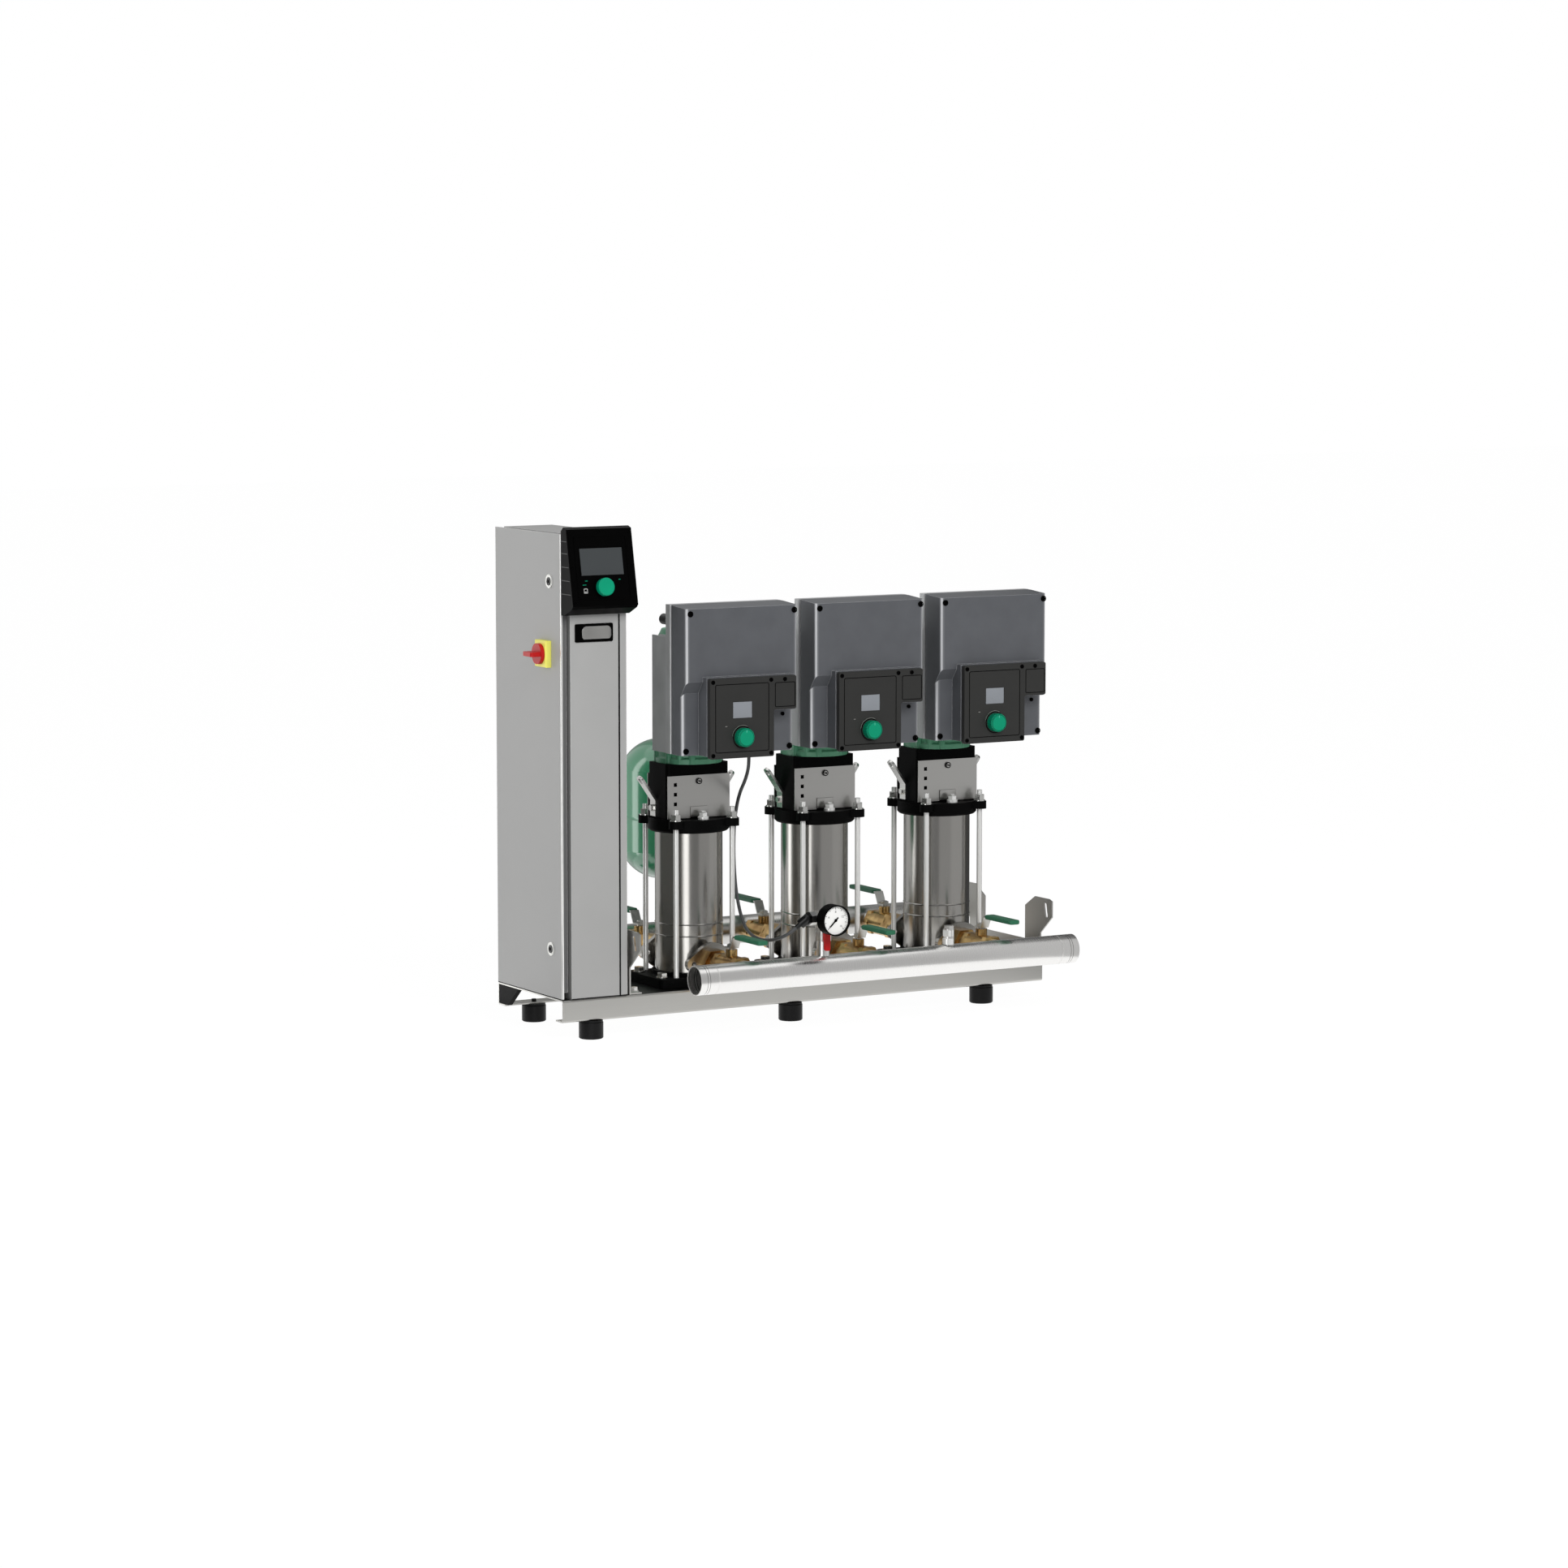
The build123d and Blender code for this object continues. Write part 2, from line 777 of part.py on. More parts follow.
def make_end_bracket():
    """The tapered block that closes the back of the base's left end, under the cabinet."""
    back = base_depth - base_bend - hole_clearance
    low = buffer_height + base_sheet + hole_clearance
    high = base_top - base_sheet
    corners = [
        (back, high),
        (back, low),
        (back - bracket_bottom, low),
        (back - bracket_top, high),
    ]
    return slab(side_plane(hole_clearance), corners, bracket_thick)


write("cabinet_body", make_cabinet_body())
write("cabinet_door", make_door())
write("door_lock_upper", make_lock(lock_zs["upper"]))
write("door_lock_lower", make_lock(lock_zs["lower"]))
write("main_switch_plate", make_switch_plate())
write("main_switch_handle", make_switch_handle())
write("cabinet_stand", make_stand())
write("switchgear", make_switchgear())
write("base_end_bracket", make_end_bracket())

# Display unit

display_z1 = cabinet_top + display_above
display_z0 = display_z1 - display_height
face_low = (-display_face_bottom, display_z0 + display_chin + display_edge)
face_high = (-display_face_top, display_z1)
face_tilt = degrees(atan2(face_high[0] - face_low[0], face_high[1] - face_low[1]))
display_middle_x = display_width / 2


def on_display_face(down):
    """A plane on the display's face, at a distance down from its upper edge; its normal points out."""
    slope = radians(face_tilt)
    y = face_high[0] - down * sin(slope)
    z = face_high[1] - down * cos(slope)
    normal = (0, -cos(slope), sin(slope))
    return Plane(origin=(display_middle_x, y, z), x_dir=(1, 0, 0), z_dir=normal)


def make_display_housing():
    """A wedge-shaped housing with a sloping chin, a window and the knob's bore."""
    corners = [
        (0, display_z0),
        (-display_chin, display_z0),
        (face_low[0] + display_edge, face_low[1] - display_edge),
        face_low,
        face_high,
        (face_high[0] + display_edge * 2, display_z1 + display_crown),
        (0, display_z1 - display_crown),
    ]
    housing = slab(side_plane(0), corners, display_width)
    window = Rectangle(screen_width + 2 * free_clearance, screen_height + 2 * free_clearance)
    housing -= extrude(on_display_face(screen_down) * window, amount=-screen_thick)
    bore = Circle(knob_shaft / 2 + run_clearance)
    housing -= extrude(on_display_face(display_knob_down) * bore, amount=-display_knob_out)
    return housing


def make_display_screen():
    pane = Rectangle(screen_width, screen_height)
    return extrude(on_display_face(screen_down) * pane, amount=-screen_thick)


def make_knob(plane, diameter, out):
    """A round knob with a chamfered rim on a shaft, turning on the plane's normal."""
    cap = extrude(plane.offset(free_clearance) * Circle(diameter / 2), amount=out - free_clearance)
    rim = cap.edges().sort_by(lambda edge: plane.to_local_coords(edge.center()).Z)[-1]
    cap = chamfer(rim, out / 8)
    shaft = extrude(plane.offset(free_clearance + 1) * Circle(knob_shaft / 2), amount=-(out * 0.6))
    return cap + shaft


write("display_housing", make_display_housing())
write("display_screen", make_display_screen())
display_knob_plane = on_display_face(display_knob_down)
write("display_knob", make_knob(display_knob_plane, display_knob_diameter, display_knob_out))

# Pumps: each function works about the pump's own axis, with Z counted from the base's top


def rod_spots():
    return [(sx * rod_offset, sy * rod_offset) for sx in (-1, 1) for sy in (-1, 1)]


def make_foot():
    """The cast foot plate with its raised seat, bolt holes and rod holes."""
    foot = extrude(RectangleRounded(foot_width, foot_depth, foot_corner), amount=foot_thick)
    foot += bar(shell_diameter + 2 * foot_boss, seat_top, (0, 0, 0))
    for sx in (-1, 1):
        for sy in (-1, 1):
            spot = (sx * foot_bolts_x / 2, sy * foot_bolts_y / 2, -1)
            foot -= bar(foot_hole, foot_thick + 2, spot)
    for x, y in rod_spots():
        foot -= bar(rod_diameter + 2 * hole_clearance, foot_thick + 2, (x, y, foot_thick / 3))
    return foot


def make_shell():
    """The stainless shell with two bead seams, and a port neck with an oval flange each way."""
    radius = shell_diameter / 2
    outline = [(radius - shell_wall, seat_top), (radius, seat_top)]
    for seam in (seam_low, seam_high):
        outline += [
            (radius, seam - seam_width / 2),
            (radius + seam_bead, seam),
            (radius, seam + seam_width / 2),
        ]
    outline += [(radius, shell_top), (radius - shell_wall, shell_top)]
    shell = turned(outline)
    bore = bar(2 * (radius - shell_wall), shell_top, (0, 0, 0))
    spread = oval_width / 2 - oval_lobe
    oval = Circle(oval_height / 2)
    for side in (-1, 1):
        oval += Pos(side * spread, 0) * Circle(oval_lobe)
    oval = make_hull(oval.edges())
    for side in (-1, 1):
        oval -= Pos(side * oval_bolts / 2, 0) * Circle(oval_bolt / 2)
    for way in ("y", "-y"):
        sign = 1 if way == "y" else -1
        neck = bar(neck_diameter, port_reach, (0, 0, port_height), way)
        shell += neck - bore
        face = (0, sign * port_reach, port_height)
        plane = Plane(origin=face, x_dir=(1, 0, 0), z_dir=(0, -sign, 0))
        shell += extrude(plane * oval, amount=oval_thick)
    for way in ("y", "-y"):
        shell -= bar(port_bore, port_reach + 1, (0, 0, port_height), way)
    return shell


def make_tie_rod(x, y):
    length = flange_top + washer_thick + nut_height + rod_stub - foot_thick / 3
    return bar(rod_diameter, length, (x, y, foot_thick / 3))


def make_nut(x, y, z):
    """A washer and nut on a tie rod, cut for the rod."""
    nut = bar(washer_diameter, washer_thick, (x, y, z))
    nut += hexagon(nut_flats, nut_height, (x, y, z + washer_thick))
    return nut - bar(rod_diameter, nut_height * 2, (x, y, z - 1))


def make_foot_bolt(x, y):
    """A hexagon bolt with its washer, through the foot and the base's top sheet."""
    z = foot_thick
    bolt = bar(washer_diameter, washer_thick, (x, y, z))
    bolt += hexagon(nut_flats, bolt_head, (x, y, z + washer_thick))
    shank = foot_thick + base_sheet + nut_height
    bolt += bar(foot_hole - 2 * hole_clearance, shank + washer_thick, (x, y, z - shank))
    return bolt


def make_head():
    """The cast head: collar over the shell, eared flange and the open lantern above it."""
    shell_radius = shell_diameter / 2
    collar_radius = collar_diameter / 2
    outline = [
        (shaft_diameter / 2 + free_clearance, shell_top),
        (shell_radius + collar_gap, shell_top),
        (shell_radius + collar_gap, shell_top - collar_step),
        (collar_radius - collar_step, shell_top - collar_step),
        (collar_radius, shell_top),
        (collar_radius, flange_top),
        (seal_diameter / 2, flange_top),
        (seal_diameter / 2, flange_top + seal_shoulder),
        (seal_diameter / 4, flange_top + seal_height),
        (shaft_diameter / 2 + free_clearance, flange_top + seal_height),
    ]
    head = turned(outline)
    ear_thick = flange_top - flange_bottom
    arm_x = (shell_radius, rod_circle)
    for x, y in rod_spots():
        arm = block(arm_x, (-ear_radius, ear_radius), (flange_bottom, flange_top))
        head += Rot(0, 0, degrees(atan2(y, x))) * arm
        head += bar(2 * ear_radius, ear_thick, (x, y, flange_bottom))
    half_x = lantern_width / 2
    half_y = lantern_depth / 2
    inner_x = (lantern_wall - half_x, half_x - lantern_wall)
    inner_y = (lantern_wall - half_y, half_y - lantern_wall)
    walls = block((-half_x, half_x), (-half_y, half_y), (flange_top, lantern_top))
    walls = fillet(upright_edges(walls), lantern_corner)
    walls -= block(inner_x, (-half_y - 1, half_y + 1), (flange_top, lintel_bottom))
    walls -= block(inner_x, inner_y, (flange_top, lantern_top - lantern_wall))
    walls -= bar(lantern_mouth, 2 * lantern_wall, (0, 0, lantern_top - 1.5 * lantern_wall))
    head += walls
    for x, y in rod_spots():
        bore = rod_diameter + 2 * hole_clearance
        head -= bar(bore, flange_top, (x, y, flange_bottom - 1))
    return head


def make_vent_plug():
    plug = bar(vent_flats * 1.3, vent_height / 4, (0, -vent_circle, flange_top))
    return plug + hexagon(vent_flats, vent_height, (0, -vent_circle, flange_top))


def make_guard(side):
    """A sheet guard over one open side of the lantern, notched round the vent plug."""
    half = lantern_width / 2
    low = flange_top + guard_bottom
    high = lintel_bottom + guard_lap
    face_y = side * lantern_depth / 2
    guard_y = sorted((face_y, face_y + side * guard_sheet))
    guard = block((-half, half), guard_y, (low, high))
    around = (face_y - guard_sheet * 2, face_y + guard_sheet * 2)
    notch = guard_notch_width / 2
    guard -= block((-notch, notch), around, (low - 1, low + guard_notch_height))
    hole = guard_hole / 2
    hole_x = side * (half - guard_hole_in)
    for k in range(guard_holes):
        z = high - guard_hole_in - k * guard_hole_pitch
        guard -= block((hole_x - hole, hole_x + hole), around, (z - hole, z + hole))
    start = (0, face_y + side * guard_sheet / 2, high - guard_screw_down)
    way = "y" if side > 0 else "-y"
    return guard + bar(guard_screw, guard_sheet / 2 + guard_screw_head, start, way)


def make_lifting_ear(side):
    """A bent lifting ear bolted to a lantern side wall, leaning outwards with an eye at its top."""
    foot_z = flange_top + ear_bar_up
    bend_z = foot_z + ear_bar_base
    wall = lantern_width / 2
    span_y = (ear_bar_y - ear_bar_width / 2, ear_bar_y + ear_bar_width / 2)
    ear = block((wall, wall + ear_bar_thick), span_y, (foot_z, bend_z))
    lean = Rectangle(ear_bar_width, ear_bar_length, align=(Align.CENTER, Align.MIN))
    lean = fillet(lean.vertices().sort_by(Axis.Y)[-2:], ear_bar_width * 0.45)
    lean -= Pos(0, ear_bar_length - ear_bar_width / 2) * Circle(ear_hole / 2)
    out = radians(ear_bar_lean)
    plane = Plane(origin=(wall, ear_bar_y, bend_z), x_dir=(0, 1, 0), z_dir=(cos(out), 0, -sin(out)))
    ear += extrude(plane * lean, amount=ear_bar_thick)
    ear += hexagon(ear_bolt, ear_head_out, (wall, ear_bar_y, foot_z + ear_bar_base / 2), "x")
    return ear if side > 0 else mirror(ear, Plane.YZ)


def make_rotor():
    """The turning stack: impellers on the pump shaft, the coupling and the motor's core."""
    shaft = shaft_diameter / 2
    outline = [(0, seat_top + shaft_seat_gap), (shaft, seat_top + shaft_seat_gap)]
    for k in range(impeller_count):
        low = impeller_first + k * impeller_pitch
        tip = impeller_diameter / 2
        outline += [
            (shaft, low),
            (tip, low),
            (tip, low + impeller_thick),
            (shaft * 2, low + impeller_thick),
            (shaft, low + 2 * impeller_thick),
        ]
    coupling = coupling_diameter / 2
    core = rotor_core_diameter / 2
    outline += [
        (shaft, coupling_bottom),
        (coupling, coupling_bottom),
        (coupling, coupling_top),
        (shaft * 1.2, coupling_top),
        (shaft * 1.2, rotor_core_bottom),
        (core, rotor_core_bottom),
        (core, rotor_core_top),
        (0, rotor_core_top),
    ]
    return turned(outline)


def make_motor():
    """The ribbed motor housing with its round flange, hollow round the turning core."""
    body = motor_diameter / 2
    inside = body - motor_wall
    flange = motor_flange_diameter / 2
    neck = shaft_diameter * 0.6 + free_clearance
    outline = [
        (neck, lantern_top),
        (flange, lantern_top),
        (flange, lantern_top + motor_flange_rim),
        (flange - motor_flange_step, lantern_top + motor_flange_rim + motor_shoulder),
        (flange - motor_flange_step, motor_flange_top - motor_shoulder),
        (body, motor_flange_top),
        (body, motor_top - motor_cap_height),
        (body - motor_cap_height / 2, motor_top),
        (0, motor_top),
        (0, motor_top - motor_cap_height),
        (inside, motor_top - motor_cap_height),
        (inside, motor_flange_top + motor_wall),
        (neck, motor_flange_top + motor_wall),
    ]
    motor = turned(outline)
    rib_z = (motor_flange_top + motor_wall, motor_top - 2 * motor_cap_height)
    rib = block((body - motor_wall / 2, body + rib_height), (-rib_width / 2, rib_width / 2), rib_z)
    for k in range(motor_ribs):
        motor += Rot(0, 0, motor_rib_start + k * motor_rib_step) * rib
    pad_half = motor_diameter * 0.4
    pad_z = (motor_flange_top + flange_boss_height / 2, motor_top - motor_cap_height)
    pad = block((-pad_half, pad_half), (-fins_back, 0), pad_z)
    motor += pad - bar(2 * body - motor_wall, motor_top, (0, 0, motor_flange_top))
    for x in (-1, 1):
        for y in (-1, 1):
            spot = (x * flange_boss_circle / sqrt(2), y * flange_boss_circle / sqrt(2), lantern_top)
            boss = bar(flange_boss, flange_boss_height, spot)
            motor += boss - bar(2 * inside, flange_boss_height, (0, 0, lantern_top))
    return motor


def make_heatsink():
    """The converter's cast back plate, with upright cooling fins towards the motor."""
    plate_z = (converter_bottom, converter_top + converter_crown)
    plate = block((converter_left, converter_right), (-cover_back, -plate_back), plate_z)
    plate = fillet(upright_edges(plate), back_plate_corner)
    base_y = (-plate_back, -plate_back + fin_base)
    base_x = (converter_left + fin_inset, converter_right - fin_inset)
    sink = plate + block(base_x, base_y, (converter_bottom, fins_top))
    step = (base_x[1] - base_x[0] - fin_thick) / (fin_count - 1)
    for k in range(fin_count):
        x = base_x[0] + k * step
        sink += block((x, x + fin_thick), (-plate_back, -fins_back), (converter_bottom, fins_top))
    gland_x = converter_left + gland_inset + gland_diameter / 2
    return sink + bar(gland_diameter, gland_length, (gland_x, -plate_back, gland_up), "y")


def panel_corners(margin):
    """The control panel's outline: a rectangle with the small side cover at its upper right."""
    return [
        (panel_left - margin, panel_bottom - margin),
        (panel_right + margin, panel_bottom - margin),
        (panel_right + margin, side_cover_bottom - margin),
        (side_cover_right + margin, side_cover_bottom - margin),
        (side_cover_right + margin, panel_top + margin),
        (panel_left - margin, panel_top + margin),
    ]


def make_cover():
    """The converter's cover: a box stepped back at its lower front, with the panel's pedestal."""
    low = converter_front - converter_step
    corners = [
        (-cover_back, converter_bottom),
        (-low, converter_bottom),
        (-low, step_bottom),
        (-converter_front, step_top),
        (-converter_front, converter_top),
        (-cover_back, converter_top + converter_crown),
    ]
    cover = slab(side_plane(converter_left), corners, converter_width)
    cover = fillet(upright_edges(cover), cover_corner)
    wall = cover_wall
    room_x = (converter_left + wall, converter_right - wall)
    room_z = (converter_bottom + wall, converter_top - wall)
    cover -= block(room_x, (wall - low, -cover_back), room_z)
    pedestal = slab(front_plane(-cover_back), panel_corners(pedestal_margin), panel_back - cover_back)
    pedestal_y = (-panel_front, wall / 2 - low)
    keep = block((-converter_width, converter_width), pedestal_y, (converter_bottom, converter_top))
    cover += pedestal & keep
    bore = knob_shaft + knob_hole_room
    cover -= bar(bore, panel_back - low, (panel_offset + knob_offset, -panel_back - 1, knob_up), "y")
    gland_z = converter_bottom - cable_gland_length
    gland = bar(cable_gland_diameter, cable_gland_length, (cable_gland_x, -cable_gland_y, gland_z))
    return cover + gland


def make_panel():
    """The dark control panel with its window recess and the knob's bore."""
    plate = slab(front_plane(-panel_back), panel_corners(0), panel_thick)
    plate = fillet(plate.edges().filter_by(Axis.Y), panel_corner)
    middle = panel_offset + knob_offset
    half_w = window_width / 2
    window_x = (middle - half_w, middle + half_w)
    window_z = (window_up - window_height / 2, window_up + window_height / 2)
    plate -= block(window_x, (-panel_front - 1, -panel_front + window_depth), window_z)
    bore = knob_shaft + 2 * run_clearance
    plate -= bar(bore, panel_thick + 2, (middle, -panel_front - 1, knob_up), "y")
    return plate


pump_knob_plane = front_plane(-panel_front, panel_offset + knob_offset, knob_up)


# Valves: each works about the pump's axis, along +Y for the back and mirrored for the front

ball_radius = ball_diameter / 2


def make_valve_body(middle):
    """A brass ball valve body with hexagon ends, a ball chamber and the stem's neck."""
    start = middle - valve_length / 2
    body = bar(valve_body, valve_length - valve_hex_long, (0, start + valve_hex_long / 2, port_height), "y")
    for end in (start, start + valve_length - valve_hex_long):
        body += hexagon(valve_hex, valve_hex_long, (0, end, port_height), "y")
    body += bar(stem_neck, stem_neck_height, (0, middle, port_height))
    body -= bar(valve_bore, valve_length + 2, (0, start - 1, port_height), "y")
    body -= Pos(0, middle, port_height) * Sphere(ball_radius + free_clearance)
    body -= bar(stem_diameter + 2 * run_clearance, stem_top, (0, middle, port_height))
    return body


def make_lever(middle):
    """The ball with its stem, the bent steel arm and the grip sleeve on the arm's end."""
    center = Pos(0, middle, port_height)
    ball = center * Sphere(ball_radius)
    ball -= bar(valve_bore, valve_length, (0, middle - valve_length / 2, port_height), "y")
    ball += bar(stem_diameter, stem_top - ball_radius * 0.8, (0, middle, port_height + ball_radius * 0.8))
    low = port_height + stem_neck_height + arm_lift
    high = low + arm_rise
    bend_1 = middle + stem_neck / 2
    bend_2 = bend_1 + arm_slope_run
    end = bend_2 + grip_length
    corners = [
        (middle - stem_neck / 2, low),
        (bend_1, low),
        (bend_2, high),
        (end, high),
        (end, high + arm_thick),
        (bend_2 - arm_thick / 2, high + arm_thick),
        (bend_1 - arm_thick / 2, low + arm_thick),
        (middle - stem_neck / 2, low + arm_thick),
    ]
    arm = slab(side_plane(-arm_width / 2), corners, arm_width)
    arm += hexagon(stem_nut_flats, stem_nut_tall, (0, middle, low))
    grip_low = high + arm_thick / 2 - grip_thick / 2
    grip_span = (bend_2 + grip_start, end + grip_past)
    outline = RectangleRounded(grip_width, grip_span[1] - grip_span[0], grip_round)
    grip = Pos(0, sum(grip_span) / 2, grip_low) * extrude(outline, amount=grip_thick)
    rims = grip.faces().sort_by(Axis.Z)[0].edges() + grip.faces().sort_by(Axis.Z)[-1].edges()
    grip = fillet(rims, grip_edge)
    return [ball + arm, grip - arm]


def make_check_valve():
    """The brass check valve between a pump's back port and its ball valve."""
    start = port_reach
    length = check_length
    barrel = length - check_hex_long
    body = bar(check_diameter, barrel, (0, start, port_height), "y")
    body += hexagon(valve_hex, check_hex_long, (0, start + barrel, port_height), "y")
    return body - bar(valve_bore, length + 2, (0, start - 1, port_height), "y")


def make_union():
    """The brass union between a pump's front port and its ball valve."""
    start = port_reach
    length = union_length
    body = hexagon(union_nut_flats, length / 2, (0, start, port_height), "y")
    body += bar(union_diameter, length, (0, start, port_height), "y")
    return body - bar(valve_bore, length + 2, (0, start - 1, port_height), "y")


def at_pump(piece, x):
    return Pos(x, pump_y, base_top) * piece


def to_front(piece):
    """Turns a piece made along +Y so that it points to the front."""
    return Rot(0, 0, 180) * piece


# Headers


def header_bore(y):
    """The room inside a header, from end to end."""
    inner = header_diameter - 2 * header_wall
    return bar(inner, header_length + 2, (header_left - 1, y, header_z), "x")


def make_header(y, valve_end, toward):
    """An open tube with a ring near each end and one welded branch for each pump."""
    tube = bar(header_diameter, header_length, (header_left, y, header_z), "x")
    branch_length = header_reach - valve_end
    for x in pump_xs:
        tube += bar(branch_diameter, branch_length, (x, y, header_z), toward)
    tube -= header_bore(y)
    for x in pump_xs:
        tube -= bar(branch_hole, branch_length + 1, (x, y, header_z), toward)
    ring_in = header_ring_inset + header_ring_width
    floor = header_diameter - 2 * header_ring_depth
    for x in (header_left + header_ring_inset, header_left + header_length - ring_in):
        ring = bar(header_diameter + header_ring_depth, header_ring_width, (x, y, header_z), "x")
        tube -= ring - bar(floor, header_ring_width, (x, y, header_z), "x")
    return tube


gauge_z = header_z + gauge_up
gauge_back_y = front_header_y - tee_side / 2
cock_axis_z = gauge_z - cock_down


def make_instrument_stub():
    """The socket on the front header and the block for gauge, sensor and cock."""
    crest = header_z + header_radius - header_wall / 2
    half = tee_side / 2
    block_low = cock_axis_z - half
    stub = bar(socket_diameter, socket_height, (gauge_x, front_header_y, crest))
    stub += bar(stub_diameter, block_low - crest, (gauge_x, front_header_y, crest))
    tee_x = (gauge_x - half, gauge_x + half)
    tee_y = (front_header_y - half, front_header_y + half)
    tee = block(tee_x, tee_y, (block_low, gauge_z + half))
    stub += fillet(upright_edges(tee), tee_corner)
    bore = cock_shaft + 2 * run_clearance
    return stub - bar(bore, half, (gauge_x, gauge_back_y + half, cock_axis_z), "-y")


def make_plug_stub():
    """The second socket on the front header, closed by a plug."""
    crest = header_z + header_radius - header_wall / 2
    socket = bar(plug_stub_diameter, plug_stub_height, (plug_stub_x, front_header_y, crest))
    plug_z = crest + plug_stub_height
    return socket + hexagon(plug_flats, plug_height, (plug_stub_x, front_header_y, plug_z))


def make_gauge_case():
    """A round pressure gauge: a case with a recessed dial and a back connection."""
    radius = gauge_diameter / 2
    front = gauge_out + gauge_deep
    dial = front - dial_depth
    arbor = arbor_diameter / 2 + run_clearance
    outline = [
        (0, 0),
        (gauge_neck / 2, 0),
        (gauge_neck / 2, gauge_out),
        (radius - gauge_rim, gauge_out),
        (radius, gauge_out + gauge_rim),
        (radius, front),
        (radius - gauge_rim, front),
        (radius - gauge_rim, dial),
        (arbor, dial),
        (arbor, dial - arbor_length),
        (0, dial - arbor_length),
    ]
    return Pos(gauge_x, gauge_back_y, gauge_z) * Rot(90, 0, 0) * turned(outline)


def make_needle():
    """The pointer on its arbor, pointing down to the left at rest."""
    half = needle_width / 2
    shoulder = needle_length * 0.7
    blade = [
        (-needle_tail, -half),
        (shoulder, -half),
        (needle_length, 0),
        (shoulder, half),
        (-needle_tail, half),
    ]
    face = make_face(Polyline(*blade, close=True)) + Circle(needle_hub / 2)
    spot = (gauge_x, gauge_face_y + dial_depth - needle_thick, gauge_z)
    along = radians(needle_rest)
    plane = Plane(origin=spot, x_dir=(cos(along), 0, sin(along)), z_dir=(0, -1, 0))
    pointer = extrude(plane * face, amount=needle_thick)
    return pointer + bar(arbor_diameter, arbor_length, spot, "y")


def make_cock():
    """The red cock handle hanging from its stem under the gauge."""
    y = gauge_back_y - free_clearance
    half = cock_wide / 2
    handle_z = (cock_axis_z - cock_long, cock_axis_z + half)
    handle = block((gauge_x - half, gauge_x + half), (y - cock_thick, y), handle_z)
    handle = fillet(handle.edges().filter_by(Axis.Y), half * 0.6)
    return handle + bar(cock_shaft, tee_side / 3, (gauge_x, y - 1, cock_axis_z), "y")


connector_x = gauge_x - tee_side / 2 - sensor_neck - sensor_hex_long
lean = radians(connector_tilt)
swing = radians(connector_swing)
connector_way = Vector(-cos(lean) * cos(swing), cos(lean) * sin(swing), -sin(lean))
connector_start = Vector(connector_x, front_header_y, gauge_z)
cable_start = connector_start + connector_way * connector_long


def make_sensor():
    """The pressure sensor on the block's left: neck, hexagon, and a connector leaning down."""
    left = gauge_x - tee_side / 2
    body = bar(connector_diameter * 0.8, sensor_neck + 1, (left, front_header_y, gauge_z), "-x")
    hex_x = left - sensor_neck
    body += hexagon(sensor_hex, sensor_hex_long, (hex_x, front_header_y, gauge_z), "-x")
    body += Pos(*connector_start) * Sphere(connector_diameter / 2)
    plane = Plane(origin=connector_start, z_dir=connector_way)
    length = connector_long - connector_diameter / 2
    body += extrude(plane * Circle(connector_diameter / 2), amount=length)
    return body + extrude(plane * Circle(connector_diameter / 4), amount=connector_long)


def vessel_shape(wall):
    """The domed tank about its own axis, drawn in by the wall, with its rim a little below mid height."""
    radius = vessel_diameter / 2 - wall
    low = vessel_bottom + wall
    top = vessel_bottom + vessel_height - wall
    middle = vessel_bottom + vessel_seam_up
    mouth = vessel_stem / 2 - wall
    arch = radius * 0.72
    rise = vessel_dome * 0.3
    shoulder = (radius, 0, low + vessel_dome)
    lines = Polyline((mouth, 0, low), (0, 0, low), (0, 0, top), (mouth, 0, top)).edges()
    lines += ThreePointArc((mouth, 0, low), (arch, 0, low + rise), shoulder).edges()
    lines += Polyline(
        shoulder,
        (radius, 0, middle - vessel_seam),
        (radius + vessel_rim, 0, middle),
        (radius, 0, middle + vessel_seam),
        (radius, 0, top - vessel_dome),
    ).edges()
    high = (radius, 0, top - vessel_dome)
    lines += ThreePointArc(high, (arch, 0, top - rise), (mouth, 0, top)).edges()
    return revolve(make_face(Wire(lines)), Axis.Z)


def make_vessel():
    """The hollow diaphragm vessel with its valve cap, standing on a pipe from the back header."""
    vessel = vessel_shape(0) - vessel_shape(vessel_wall)
    foot = header_z + header_radius - header_wall / 2
    vessel += bar(vessel_stem, vessel_bottom + vessel_wall - foot, (0, 0, foot))
    nut_z = vessel_bottom - vessel_nut_down
    vessel += hexagon(vessel_nut_flats, vessel_nut_tall, (0, 0, nut_z))
    cap_z = vessel_bottom + vessel_height - vessel_wall
    vessel += bar(vessel_cap_diameter, vessel_wall + vessel_cap_height, (0, 0, cap_z))
    vessel = Pos(vessel_x, rear_header_y, 0) * vessel
    around = bar(header_diameter, header_length, (header_left, rear_header_y, header_z), "x")
    return vessel - around


# The cable: straight runs joined by tangent arcs


